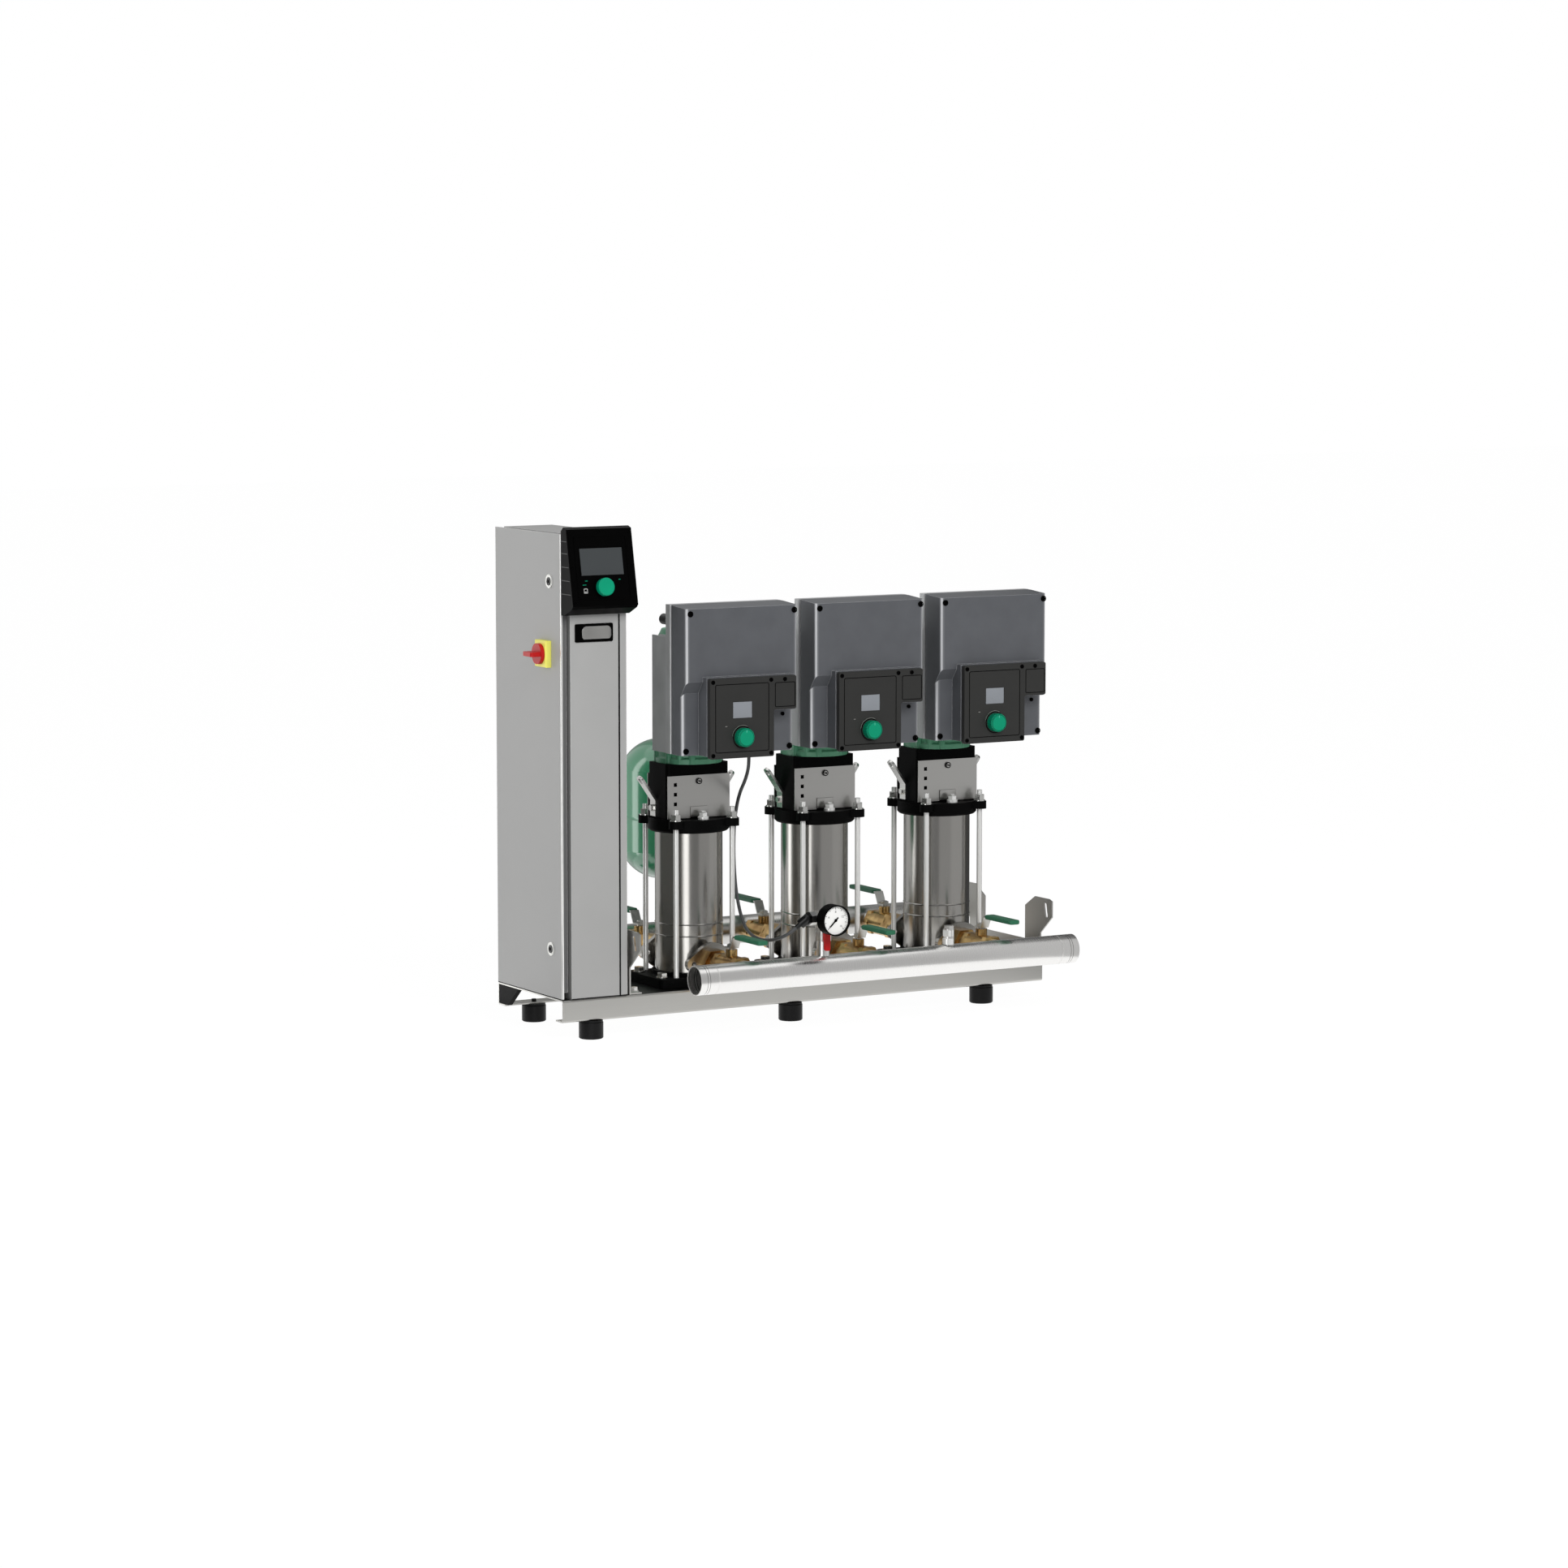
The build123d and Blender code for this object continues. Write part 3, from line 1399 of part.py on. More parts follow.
def make_cable():
    """A round cable through the route's points, each corner as wide as its two runs allow."""
    gland_z = base_top + converter_bottom - cable_gland_length
    end = Vector(pump_xs[0] + cable_gland_x, pump_y - cable_gland_y, gland_z)
    first = cable_start + connector_way * cable_exit
    last = end - Vector(0, 0, cable_exit)
    spots = [cable_start, first] + [Vector(*point) for point in cable_route] + [last, end]
    radii = []
    for before, corner, after in zip(spots, spots[1:], spots[2:]):
        turn = (corner - before).get_angle(after - corner)
        shorter = min((corner - before).length, (after - corner).length)
        radii.append(0.45 * shorter / tan(radians(turn / 2)))
    runs = [(after - before).length for before, after in zip(spots, spots[1:])]
    print("cable runs", [round(run, 1) for run in runs])
    print("cable radii", [round(radius, 1) for radius in radii])
    path = FilletPolyline(*[tuple(spot) for spot in spots], radius=radii)
    start = Plane(origin=path @ 0, z_dir=path % 0)
    tube = sweep(start * Circle(cable_diameter / 2), path=path)
    filled = tube.volume / (path.length * pi * cable_diameter**2 / 4)
    print("cable length", round(path.length, 1), "volume over section times length", round(filled, 4))
    return tube


# The pumps' pieces, written pump by pump

tie_rods = []
fasteners = []
guards = []
lifting_ears = []
heatsinks = []
valve_bodies = []

foot = make_foot()
shell = make_shell()
head = make_head()
rotor = make_rotor()
motor = make_motor()
heatsink = make_heatsink()
cover = make_cover()
panel = make_panel()
pump_knob = make_knob(pump_knob_plane, knob_diameter, knob_out)
front_lever = [to_front(piece) for piece in make_lever(front_valve_out)]
rear_lever = make_lever(rear_valve_out)

for number, x in enumerate(pump_xs, start=1):
    name = f"pump_{number}"
    write(f"{name}_foot", at_pump(foot, x))
    write(f"{name}_shell", at_pump(shell, x))
    write(f"{name}_head", at_pump(head, x))
    write(f"{name}_rotor", at_pump(rotor, x))
    write(f"{name}_motor", at_pump(motor, x))
    write(f"{name}_converter_cover", at_pump(cover, x))
    write(f"{name}_control_panel", at_pump(panel, x))
    write(f"{name}_knob", at_pump(pump_knob, x))
    write(f"{name}_front_lever", [at_pump(piece, x) for piece in front_lever])
    write(f"{name}_rear_lever", [at_pump(piece, x) for piece in rear_lever])
    heatsinks.append(at_pump(heatsink, x))
    for side in (-1, 1):
        guards.append(at_pump(make_guard(side), x))
        lifting_ears.append(at_pump(make_lifting_ear(side), x))
    for spot in rod_spots():
        tie_rods.append(at_pump(make_tie_rod(*spot), x))
        fasteners.append(at_pump(make_nut(*spot, flange_top), x))
    fasteners.append(at_pump(make_vent_plug(), x))
    for sx in (-1, 1):
        for sy in (-1, 1):
            bolt = make_foot_bolt(sx * foot_bolts_x / 2, sy * foot_bolts_y / 2)
            fasteners.append(at_pump(bolt, x))
    valve_bodies.append(at_pump(to_front(make_valve_body(front_valve_out)), x))
    valve_bodies.append(at_pump(to_front(make_union()), x))
    valve_bodies.append(at_pump(make_valve_body(rear_valve_out), x))
    valve_bodies.append(at_pump(make_check_valve(), x))

write("converter_heatsinks", heatsinks)
write("coupling_guards", guards)
write("lifting_ears", lifting_ears)
write("tie_rods", tie_rods)
write("pump_fasteners", fasteners)
write("valve_bodies", valve_bodies)
front_header = make_header(front_header_y, front_valve_out + valve_length / 2, "y")
front_header += make_instrument_stub() + make_plug_stub() - header_bore(front_header_y)
write("front_header", front_header)
write("rear_header", make_header(rear_header_y, rear_valve_out + valve_length / 2, "-y"))
write("gauge_case", make_gauge_case())
write("gauge_needle", make_needle())
write("gauge_cock", make_cock())
write("pressure_sensor", make_sensor())
write("pressure_vessel", make_vessel())
write("sensor_cable", make_cable())
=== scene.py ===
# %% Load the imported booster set
import math
import bmesh
import bpy
from mathutils import Matrix, Vector


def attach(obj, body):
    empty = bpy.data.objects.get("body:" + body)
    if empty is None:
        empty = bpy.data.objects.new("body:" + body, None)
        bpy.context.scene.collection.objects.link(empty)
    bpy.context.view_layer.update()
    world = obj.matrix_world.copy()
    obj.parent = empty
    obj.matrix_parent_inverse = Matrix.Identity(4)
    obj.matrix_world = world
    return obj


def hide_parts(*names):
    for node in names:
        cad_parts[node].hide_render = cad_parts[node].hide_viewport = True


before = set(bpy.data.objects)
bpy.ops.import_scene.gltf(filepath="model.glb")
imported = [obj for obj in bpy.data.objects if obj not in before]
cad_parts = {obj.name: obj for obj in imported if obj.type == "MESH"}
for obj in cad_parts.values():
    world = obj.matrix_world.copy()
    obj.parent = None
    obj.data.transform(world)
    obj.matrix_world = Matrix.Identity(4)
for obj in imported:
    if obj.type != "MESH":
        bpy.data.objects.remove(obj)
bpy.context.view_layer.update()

# %% [markdown]
# The booster set was laid out in millimetres from the base's front left corner, while Blender
# works in metres from the middle of the set. Small functions go from the first to the second, so
# that every size below can be read off a drawing. A matrix does the same for a place and a
# direction together: its Z axis is the way a screw, dial or knob faces.

# %% From drawing millimetres to metres
MM = 0.001
ORIGIN = Vector((552.0, 136.25, 0.0))
PUMP_XS = (351.0, 651.0, 951.0)
PUMP_Y = 112.0
BASE_TOP = 84.0


def at(x, y, z):
    """A drawing point as a place in the scene."""
    return (Vector((x, y, z)) - ORIGIN) * MM


def at_x(x):
    """A drawing point's X alone, in the scene's metres."""
    return (x - ORIGIN.x) * MM


def at_y(y):
    """A drawing point's Y alone, in the scene's metres."""
    return (y - ORIGIN.y) * MM


def upright(x, y, z):
    """A matrix at a drawing point whose Z axis is up."""
    return Matrix.Translation(at(x, y, z)) @ Matrix.Scale(MM, 4)


def facing(x, y, z, way, up=(0, 0, 1)):
    """A matrix at a drawing point whose Z axis is the way out and whose Y axis is up."""
    out = Vector(way).normalized()
    right = Vector(up).cross(out).normalized()
    turn = Matrix((right, out.cross(right), out)).transposed().to_4x4()
    return Matrix.Translation(at(x, y, z)) @ turn @ Matrix.Scale(MM, 4)


FRONT = (0, -1, 0)
BACK = (0, 1, 0)
LEFT = (-1, 0, 0)
print("front header starts at", [round(v, 3) for v in at(201, -184, 134)])

# %% [markdown]
# Blender keeps an object apart from its data: the mesh, the curve or the lamp. Both have to be
# made, and the object has to be linked to the scene before anything shows. This happens for
# every piece, so it has a function.

# %% Objects in the scene


def put(name, data):
    """Makes an object from its data and links it to the scene."""
    made = bpy.data.objects.new(name, data)
    bpy.context.scene.collection.objects.link(made)
    return made


print("scene", bpy.context.scene.name)

# %% [markdown]
# The camera stands about ten metres away with a long lens, a little above the set and to its
# left. A long lens keeps the uprights nearly parallel, as in a catalogue picture. The place and
# the angles were worked out from the corners of the cabinet, the base and the headers.

# %% Camera
CAMERA_PLACE = (-5.0956, -8.92105, 1.6422)
CAMERA_TILT = 83.54
CAMERA_TURN = -29.926
camera_data = bpy.data.cameras.new("catalogue_camera")
camera_data.sensor_width = 36.0
camera_data.lens = 113.99
camera_data.clip_end = 100.0
camera = put("catalogue_camera", camera_data)
camera.location = CAMERA_PLACE
camera.rotation_euler = (math.radians(CAMERA_TILT), 0.0, math.radians(CAMERA_TURN))
bpy.context.scene.camera = camera
print("camera distance", round(camera.location.length, 2), "m")

# %% [markdown]
# The sensor's cable leaves its connector downwards, dips behind the front valve, climbs beside
# the first pump's head and ends in the gland under the first converter. A cable like this could
# be a chain of straight pipes, but a smooth curve with few control points hangs more like the
# real thing. A NURBS curve passes near its points, and its round bevel gives the thickness. The
# bevel is 1 and the points carry the cable's radius, because a curve's box grows by that radius.

# %% Sensor cable
CABLE_DIAMETER = 7.0
CABLE_ROUTE = [
    (442.42, -173.28, 223.00), (430.48, -166.38, 211.43), (423, -150, 202), (420, -126, 194),
    (420, -92, 188), (424, -48, 186), (431, -4, 189), (439, 36, 202), (446, 68, 230),
    (449, 88, 270), (450, 97, 317), (449, 97, 366), (447, 90, 412), (443, 72, 452),
    (435, 44, 480), (424, 10, 500), (415.5, -13.5, 514), (409, -33, 530), (406, -43, 547),
    (406, -43, 565),
]


def round_line(name, points, diameter):
    """A round cable along a smooth curve near the drawing points."""
    data = bpy.data.curves.new(name, "CURVE")
    data.dimensions = "3D"
    data.bevel_depth = 1.0
    data.bevel_resolution = 4
    data.use_fill_caps = True
    data.resolution_u = 10
    spline = data.splines.new("NURBS")
    spline.points.add(len(points) - 1)
    for knot, point in zip(spline.points, points):
        knot.co = (*at(*point), 1.0)
        knot.radius = diameter / 2 * MM
    spline.order_u = 3
    spline.use_endpoint_u = True
    return put(name, data)


cable = round_line("sensor_cable_line", CABLE_ROUTE, CABLE_DIAMETER)
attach(cable, "frame")
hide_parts("sensor_cable")
print("cable with", len(CABLE_ROUTE), "control points")

# %% [markdown]
# A finish is a small network of nodes. Writing the network by hand takes a dozen lines for each
# sum, so one class wraps a socket and lets Python's own signs add the Math nodes. The second
# class holds a node tree and makes any other node in one call.

# %% Sums on sockets


class Flow:
    """A number that changes over the surface, as the output of a node."""

    def __init__(self, network, socket):
        self.network = network
        self.socket = socket

    def maths(self, operation, first, second):
        return self.network.node("ShaderNodeMath", {"operation": operation}, {0: first, 1: second})

    def __add__(self, other):
        return self.maths("ADD", self, other)

    def __radd__(self, other):
        return self.maths("ADD", other, self)

    def __sub__(self, other):
        return self.maths("SUBTRACT", self, other)

    def __rsub__(self, other):
        return self.maths("SUBTRACT", other, self)

    def __mul__(self, other):
        return self.maths("MULTIPLY", self, other)

    def __rmul__(self, other):
        return self.maths("MULTIPLY", other, self)

    def __gt__(self, other):
        return self.maths("GREATER_THAN", self, other)

    def __lt__(self, other):
        return self.maths("LESS_THAN", self, other)

    def __pow__(self, other):
        return self.maths("POWER", self, other)


def arc_tangent(up, across):
    """The bearing of a point, from how far up and how far across it lies."""
    return up.maths("ARCTAN2", up, across)


def sine(angle):
    """The sine of a bearing that varies over the surface."""
    return angle.maths("SINE", angle, 0.0)


class Network:
    """The node tree of a material or of the world."""

    def __init__(self, tree):
        self.tree = tree

    def node(self, kind, settings=None, sockets=None, output=0):
        """Makes a node: its settings first, then the values or links of its sockets."""
        made = self.tree.nodes.new(kind)
        for name, value in (settings or {}).items():
            setattr(made, name, value)
        for name, value in (sockets or {}).items():
            if isinstance(value, Flow):
                self.tree.links.new(value.socket, made.inputs[name])
            else:
                made.inputs[name].default_value = value
        return Flow(self, made.outputs[output])

    def outputs(self, kind, names, sockets=None):
        """Several outputs of one new node."""
        made = self.node(kind, None, sockets).socket.node
        return [Flow(self, made.outputs[name]) for name in names]


print("sums ready")

# %% [markdown]
# Colours are written as a picture shows them, from 0 to 255, because that is how they are read
# off one. Blender works in light, where half as bright is half the number, so a curve lies
# between the two. Nothing on the set has one flat colour: it drifts between shades of a tint.

# %% Colours


def tint(red, green, blue):
    """A colour as a picture shows it, 0 to 255, turned into the light that Blender works in."""
    def light(level):
        level /= 255.0
        return level / 12.92 if level <= 0.04045 else ((level + 0.055) / 1.055) ** 2.4
    return (light(red), light(green), light(blue), 1.0)


def shade_of(colour, factor):
    """The same colour with more or less light."""
    return tuple(min(1.0, factor * level) for level in colour[:3]) + (1.0,)


KNOB_GREEN = tint(0, 142, 106)
GRIP_GREEN = tint(34, 104, 74)
DEEP_BLACK = tint(3, 3, 3)
print("knob green as light", [round(level, 3) for level in KNOB_GREEN[:3]])

# %% [markdown]
# Every material here starts from the Principled shader. The real set has no knife-sharp edge:
# paint runs off it and tools leave a radius, so most finishes round their normals with a small
# bevel before the relief is added. Two masks find the edges: one where the rounded normal leaves
# the true one, the other where a face turns from one upright side to the next. The second reads
# the way a face points in the room, so it pales the door while that is about half open.

# %% Finishes


class Finish(Network):
    """A procedural material built round one Principled shader."""

    edge = None

    def __init__(self, name, **constants):
        self.material = bpy.data.materials.new(name)
        self.material.use_nodes = True
        super().__init__(self.material.node_tree)
        self.shader = self.tree.nodes["Principled BSDF"]
        for socket, value in constants.items():
            self.shader.inputs[socket.replace("_", " ")].default_value = value

    def feed(self, socket, flow):
        self.tree.links.new(flow.socket, self.shader.inputs[socket])

    def place(self):
        return self.node("ShaderNodeTexCoord", output="Object")

    def axes(self):
        """The X, Y and Z of the place, in the piece's own frame."""
        return self.outputs("ShaderNodeSeparateXYZ", (0, 1, 2), {0: self.place()})

    def noise(self, scale, detail=2.0, roughness=0.5, stretch=(1, 1, 1)):
        """Cloudy noise; stretch multiplies each axis first, so lines need one large number."""
        spot = self.place()
        if stretch != (1, 1, 1):
            spot = self.node("ShaderNodeMapping", None, {"Vector": spot, "Scale": stretch})
        cloud = {"Vector": spot, "Scale": scale, "Detail": detail, "Roughness": roughness}
        return self.node("ShaderNodeTexNoise", None, cloud)

    def mix(self, mask, first, second):
        """Goes from the first colour to the second as the mask goes from 0 to 1."""
        return self.node("ShaderNodeMix", {"data_type": "RGBA"}, {0: mask, 6: first, 7: second}, 2)

    def soften(self, radius):
        """Rounds sharp edges in the shading, as paint, deburring or a mould does."""
        self.edge = self.node("ShaderNodeBevel", {"samples": 4}, {"Radius": radius * MM})
        self.feed("Normal", self.edge)

    def bump(self, height, depth):
        """Relief of the given depth in millimetres, over edges that were softened."""
        relief = {"Strength": 1.0, "Distance": depth * MM, "Height": height, "Normal": self.edge}
        self.feed("Normal", self.node("ShaderNodeBump", None, relief))

    def clamped(self, operation, first, second):
        """A sum that is held between 0 and 1."""
        return self.node("ShaderNodeMath", {"operation": operation, "use_clamp": True},
                         {0: first, 1: second})

    def round_corners(self, gain=6.0, start=2.2):
        """Grows from 0 to 1 where a face turns from one upright side towards the next."""
        true = self.node("ShaderNodeNewGeometry", output="Normal")
        across, along = self.outputs("ShaderNodeSeparateXYZ", (0, 1), {0: true})
        both = self.node("ShaderNodeMath", {"operation": "ABSOLUTE"}, {0: across * along})
        return self.clamped("SUBTRACT", both * gain, start)

    def rim(self, gain=4.0):
        """Grows from 0 on a flat face to 1 on an edge, where the rounded normal leaves the true one."""
        true = self.node("ShaderNodeNewGeometry", output="Normal")
        alike = self.node("ShaderNodeVectorMath", {"operation": "DOT_PRODUCT"}, {0: self.edge, 1: true}, 1)
        return self.clamped("MULTIPLY", 1 - alike, gain)


print("finishes ready")

# %% [markdown]
# The cabinet and its stand are powder-coated sheet. Powder melts into a fine orange peel, so the colour
# stays nearly even and the relief and the gloss waver a little. Folded edges catch the light and are
# painted paler: a painted highlight. The door is one solid with its lock rings and its inner return, so
# masks by place make the rings bright metal and paint the return dark, as painted shade for the recess
# behind the door's edge.

# %% Painted sheet
SHEET_GREY = tint(172, 172, 171)
SHEET_ROUGHNESS = 0.48
DOOR_FACE_X = -0.5
RETURN_FROM_X = 1.5
RETURN_TO_Y = 16.0


def painted_sheet(name, colour, roughness, peel=0.03, door=False):
    paint = Finish(name, IOR=1.5)
    paint.soften(2.4)
    cloud = paint.noise(14.0, 3.0)
    shade = paint.mix(cloud, shade_of(colour, 0.93), colour)
    if door:
        x, y, _ = paint.axes()
        # Painted shade: the inner return behind the door's edge is painted dark grey.
        inner = (x > at_x(RETURN_FROM_X)) * (y < at_y(RETURN_TO_Y))
        shade = paint.mix(inner, shade, tint(104, 104, 104))
    # Painted highlights: folded edges and upright corners are painted paler.
    shade = paint.mix(paint.rim(7.0) * 0.85, shade, tint(240, 240, 239))
    shade = paint.mix(paint.round_corners(4.0, 0.8) * 0.9, shade, tint(246, 246, 245))
    if door:
        ring = x < at_x(DOOR_FACE_X)
        shade = paint.mix(ring, shade, tint(228, 228, 224))
        paint.feed("Metallic", ring * 1.0)
    paint.feed("Base Color", shade)
    paint.feed("Roughness", cloud * 0.12 + (roughness - 0.06))
    paint.bump(paint.noise(900.0, 2.0), peel)
    return paint.material


sheet_paint = painted_sheet("powder_coat_grey", SHEET_GREY, SHEET_ROUGHNESS)
door_paint = painted_sheet("powder_coat_door", SHEET_GREY, SHEET_ROUGHNESS, door=True)
print("painted sheet:", sheet_paint.name, "and", door_paint.name)

# %% [markdown]
# Stainless steel carries the marks of how it was finished. A tube is polished while it turns, so its fine
# lines run round it. Noise stretched a thousandfold along one axis gives such lines: on the pump shells
# they vary with height, on the headers with length. The lines change the relief and the roughness most and
# the colour only a little, because steel has one colour. The front header has two scored rings near each
# end. The base's top is painted nearly black: painted shade, as it lies under the set.

# %% Stainless and plated steel
HEADER_SCORES = (216.0, 221.5, 1080.5, 1086.0)
SCORE_HALF = 0.5


def brushed(name, colour, roughness, stretch, depth=0.02, metallic=1.0, painted_shade_above=None, scores=()):
    metal = Finish(name, Metallic=metallic)
    metal.soften(0.5)
    lines = metal.noise(3.0, 3.0, 0.6, stretch)
    cloud = metal.noise(9.0, 2.0)
    steel = metal.mix(lines, shade_of(colour, 0.93), colour)
    # Painted shade: above this height, on the base's top, the steel is painted nearly black.
    if painted_shade_above:
        upper = metal.axes()[2] > painted_shade_above * MM
        steel = metal.mix(upper, steel, shade_of(colour, 0.07))
    for x in scores:
        along = metal.axes()[0] - at_x(x)
        score = (along > -SCORE_HALF * MM) * (along < SCORE_HALF * MM)
        steel = metal.mix(score, steel, tint(120, 119, 116))
    metal.feed("Base Color", steel)
    metal.feed("Roughness", lines * 0.06 + cloud * 0.05 + (roughness - 0.055))
    metal.bump(lines, depth)
    return metal.material


shell_steel = brushed("brushed_shell_steel", tint(184, 182, 178), 0.2, (1, 1, 1500), 0.004)
tube_steel = brushed("polished_tube_steel", tint(250, 249, 247), 0.28, (700, 1, 1), 0.001,
                     scores=HEADER_SCORES)
guard_steel = brushed("brushed_guard_sheet", tint(208, 207, 204), 0.34, (1, 1, 700), 0.001)
rear_steel = brushed("polished_rear_tube", tint(214, 213, 210), 0.28, (700, 1, 1), 0.0015)
plated_steel = brushed("bright_zinc", tint(232, 232, 229), 0.24, (300, 300, 300), 0.001)
rod_steel = brushed("bright_tie_rod", tint(250, 250, 248), 0.2, (1, 1, 300), 0.001, metallic=0.45)
lock_steel = brushed("dark_lock_insert", tint(72, 72, 72), 0.4, (300, 300, 300), 0.001)
lug_steel = brushed("galvanised_sheet", tint(204, 203, 199), 0.42, (20, 20, 20), 0.008)
base_steel = brushed("satin_base_sheet", tint(196, 195, 191), 0.36, (1, 90, 200), 0.003,
                     painted_shade_above=BASE_TOP - 0.3)
print("steels:", shell_steel.name, tube_steel.name, plated_steel.name)

# %% [markdown]
# The valves are cast brass. Broad noise, pulled apart by a Math node, moves the colour in random patches
# between a dark brown and a pale yellow tone: partly the casting's uneven tone, partly painted highlights
# and shade of its polished facets.

# %% Brass


def cast_brass(name):
    metal = Finish(name, Metallic=1.0)
    metal.soften(1.0)
    cloud = metal.noise(24.0, 3.0, 0.5)
    grain = metal.noise(420.0, 2.0)
    patches = metal.node("ShaderNodeMath", {"operation": "MULTIPLY_ADD", "use_clamp": True},
                         {0: cloud, 1: 2.4, 2: -0.7})
    # Partly painted highlights and shade: the patches go from dark brown to pale yellow.
    metal.feed("Base Color", metal.mix(patches, tint(150, 112, 62), tint(240, 206, 142)))
    metal.feed("Roughness", cloud * 0.1 + grain * 0.06 + 0.16)
    metal.bump(grain, 0.05)
    return metal.material


brass = cast_brass("cast_brass")
print("brass:", brass.name)

# %% [markdown]
# The pump's foot, collar and lantern are grey iron under black paint: the sand mould's grain shows through
# it. The motor is the same kind of casting in green, and the converter's back plate is a bare aluminium
# casting. One function with a colour, a gloss and a grain depth serves them all. The converter's cover
# gets painted highlights: its edges and upright corners are painted paler. The gland that is one solid
# with the back plate is black by its place.

# %% Castings
GLAND_ABOVE_Z = 822.0
GLAND_BEHIND_Y = -16.4


def casting(name, colour, roughness, grain_depth, metallic=0.0, edge=1.2, shine=0.5, rim=0.0,
            gland=False):
    cast = Finish(name, Metallic=metallic, Specular_IOR_Level=shine)
    cast.soften(edge)
    grain = cast.noise(420.0, 3.0, 0.65)
    cloud = cast.noise(22.0, 3.0)
    shade = cast.mix(cloud, colour, shade_of(colour, 1.35))
    if rim:
        # Painted highlights: the cover's edges and upright corners are painted paler.
        shade = cast.mix(cast.rim() * rim, shade, tint(206, 207, 210))
        shade = cast.mix(cast.round_corners(1.6, 0.0) * 0.3, shade, tint(200, 201, 204))
        shade = cast.mix(cast.round_corners() * rim, shade, tint(236, 237, 240))
    if gland:
        _, y, z = cast.axes()
        black = (z > GLAND_ABOVE_Z * MM) * (y > at_y(GLAND_BEHIND_Y))
        shade = cast.mix(black, shade, tint(4, 4, 4))
        cast.feed("Metallic", metallic - black * metallic)
    cast.feed("Base Color", shade)
    cast.feed("Roughness", cloud * 0.14 + grain * 0.1 + (roughness - 0.12))
    cast.bump(grain, grain_depth)
    return cast.material


black_cast = casting("black_cast_iron", tint(7, 7, 7), 0.5, 0.1, shine=0.04)
motor_green = casting("green_motor_paint", tint(84, 150, 116), 0.36, 0.05)
bare_casting = casting("bare_aluminium", tint(190, 191, 192), 0.4, 0.04, 0.75, 0.6, gland=True)
converter_grey = casting("converter_grey", tint(88, 90, 94), 0.4, 0.012, 0.3, 1.3, rim=0.75)
print("castings:", black_cast.name, motor_green.name, bare_casting.name)

# %% [markdown]
# Moulded plastic takes a fine spark-eroded texture from its tool. The knobs are the first thing
# the eye finds, so their green is kept clean and slightly glossy.

# %% Plastics and rubber


def moulded(name, colour, roughness, grain=0.02, edge=0.5, shine=0.5):
    plastic = Finish(name, IOR=1.5, Specular_IOR_Level=shine)
    plastic.soften(edge)
    grains = plastic.noise(1100.0, 2.0)
    cloud = plastic.noise(30.0, 2.0)
    plastic.feed("Base Color", plastic.mix(cloud, colour, shade_of(colour, 1.18)))
    plastic.feed("Roughness", grains * 0.1 + cloud * 0.06 + (roughness - 0.08))
    plastic.bump(grains, grain)
    return plastic.material


black_plastic = moulded("black_housing", DEEP_BLACK, 0.36, shine=0.03)
panel_plastic = moulded("dark_panel", tint(42, 42, 41), 0.42, shine=0.35)
green_plastic = moulded("green_knob", KNOB_GREEN, 0.36, shine=0.2)
yellow_plastic = moulded("yellow_plate", tint(240, 234, 110), 0.4)
red_plastic = moulded("red_handle", tint(178, 16, 16), 0.36, shine=0.3)
switch_plastic = moulded("switchgear_grey", tint(204, 205, 204), 0.45)
buffer_rubber = moulded("black_rubber", tint(12, 12, 13), 0.4, 0.04, shine=0.2)
cable_sheath = moulded("cable_sheath", tint(72, 73, 74), 0.4, 0.02)
print("plastics:", black_plastic.name, green_plastic.name, buffer_rubber.name)

# %% [markdown]
# Each converter's knob has a groove round its face, a pointer line and fine ribs on its side. They could
# be cut in the mesh, but the knob is a solid that stays as it is. The groove is a darker ring of green:
# painted shade. A point's distance from the knob's axis tells face from side, and the sine of its bearing
# makes the ribs.

# %% Converter knobs
KNOB_X = -9.0
KNOB_UP = 528.0
KNOB_FACE = 17.0
KNOB_RIBS = 36.0


def knob_finish(name, x, z, face_radius):
    knob = Finish(name, IOR=1.5, Specular_IOR_Level=0.2)
    knob.soften(0.8)
    here_x, _, here_z = knob.axes()
    across = here_x - at_x(x)
    above = here_z - z * MM
    from_axis = (across * across + above * above) ** 0.5
    groove = (from_axis > (face_radius - 1.6) * MM) * (from_axis < (face_radius - 0.4) * MM)
    pointer = (above > (face_radius - 6.5) * MM) * (from_axis < (face_radius - 1.6) * MM)
    pointer = pointer * (across < 0.7 * MM) * (across > -0.7 * MM)
    # Painted shade: the groove is a darker ring of green.
    shade = knob.mix(groove, KNOB_GREEN, tint(0, 96, 72))
    knob.feed("Base Color", knob.mix(pointer, shade, tint(90, 190, 160)))
    knob.feed("Roughness", knob.noise(30.0) * 0.1 + 0.3)
    side = from_axis > face_radius * MM
    knob.bump(sine(arc_tangent(above, across) * KNOB_RIBS) * side, 0.8)
    return knob.material


print("knob ribs", round(KNOB_RIBS), "round a face of", 2 * KNOB_FACE, "mm")

# %% [markdown]
# The vessel is sprayed with a thick gloss lacquer: a clear coat over the green gives its sharp
# pale highlights. The screens are dead displays behind glossy panes.

# %% Lacquer and screens
lacquer = Finish("green_lacquer", Roughness=0.3, Coat_Weight=1.0, Coat_Roughness=0.12, Coat_IOR=1.8)
lacquer.soften(0.5)
lacquer.feed("Base Color", lacquer.mix(lacquer.noise(12.0, 2.0), tint(44, 146, 100), tint(56, 158, 112)))
lacquer.bump(lacquer.noise(160.0, 2.0), 0.03)
vessel_lacquer = lacquer.material


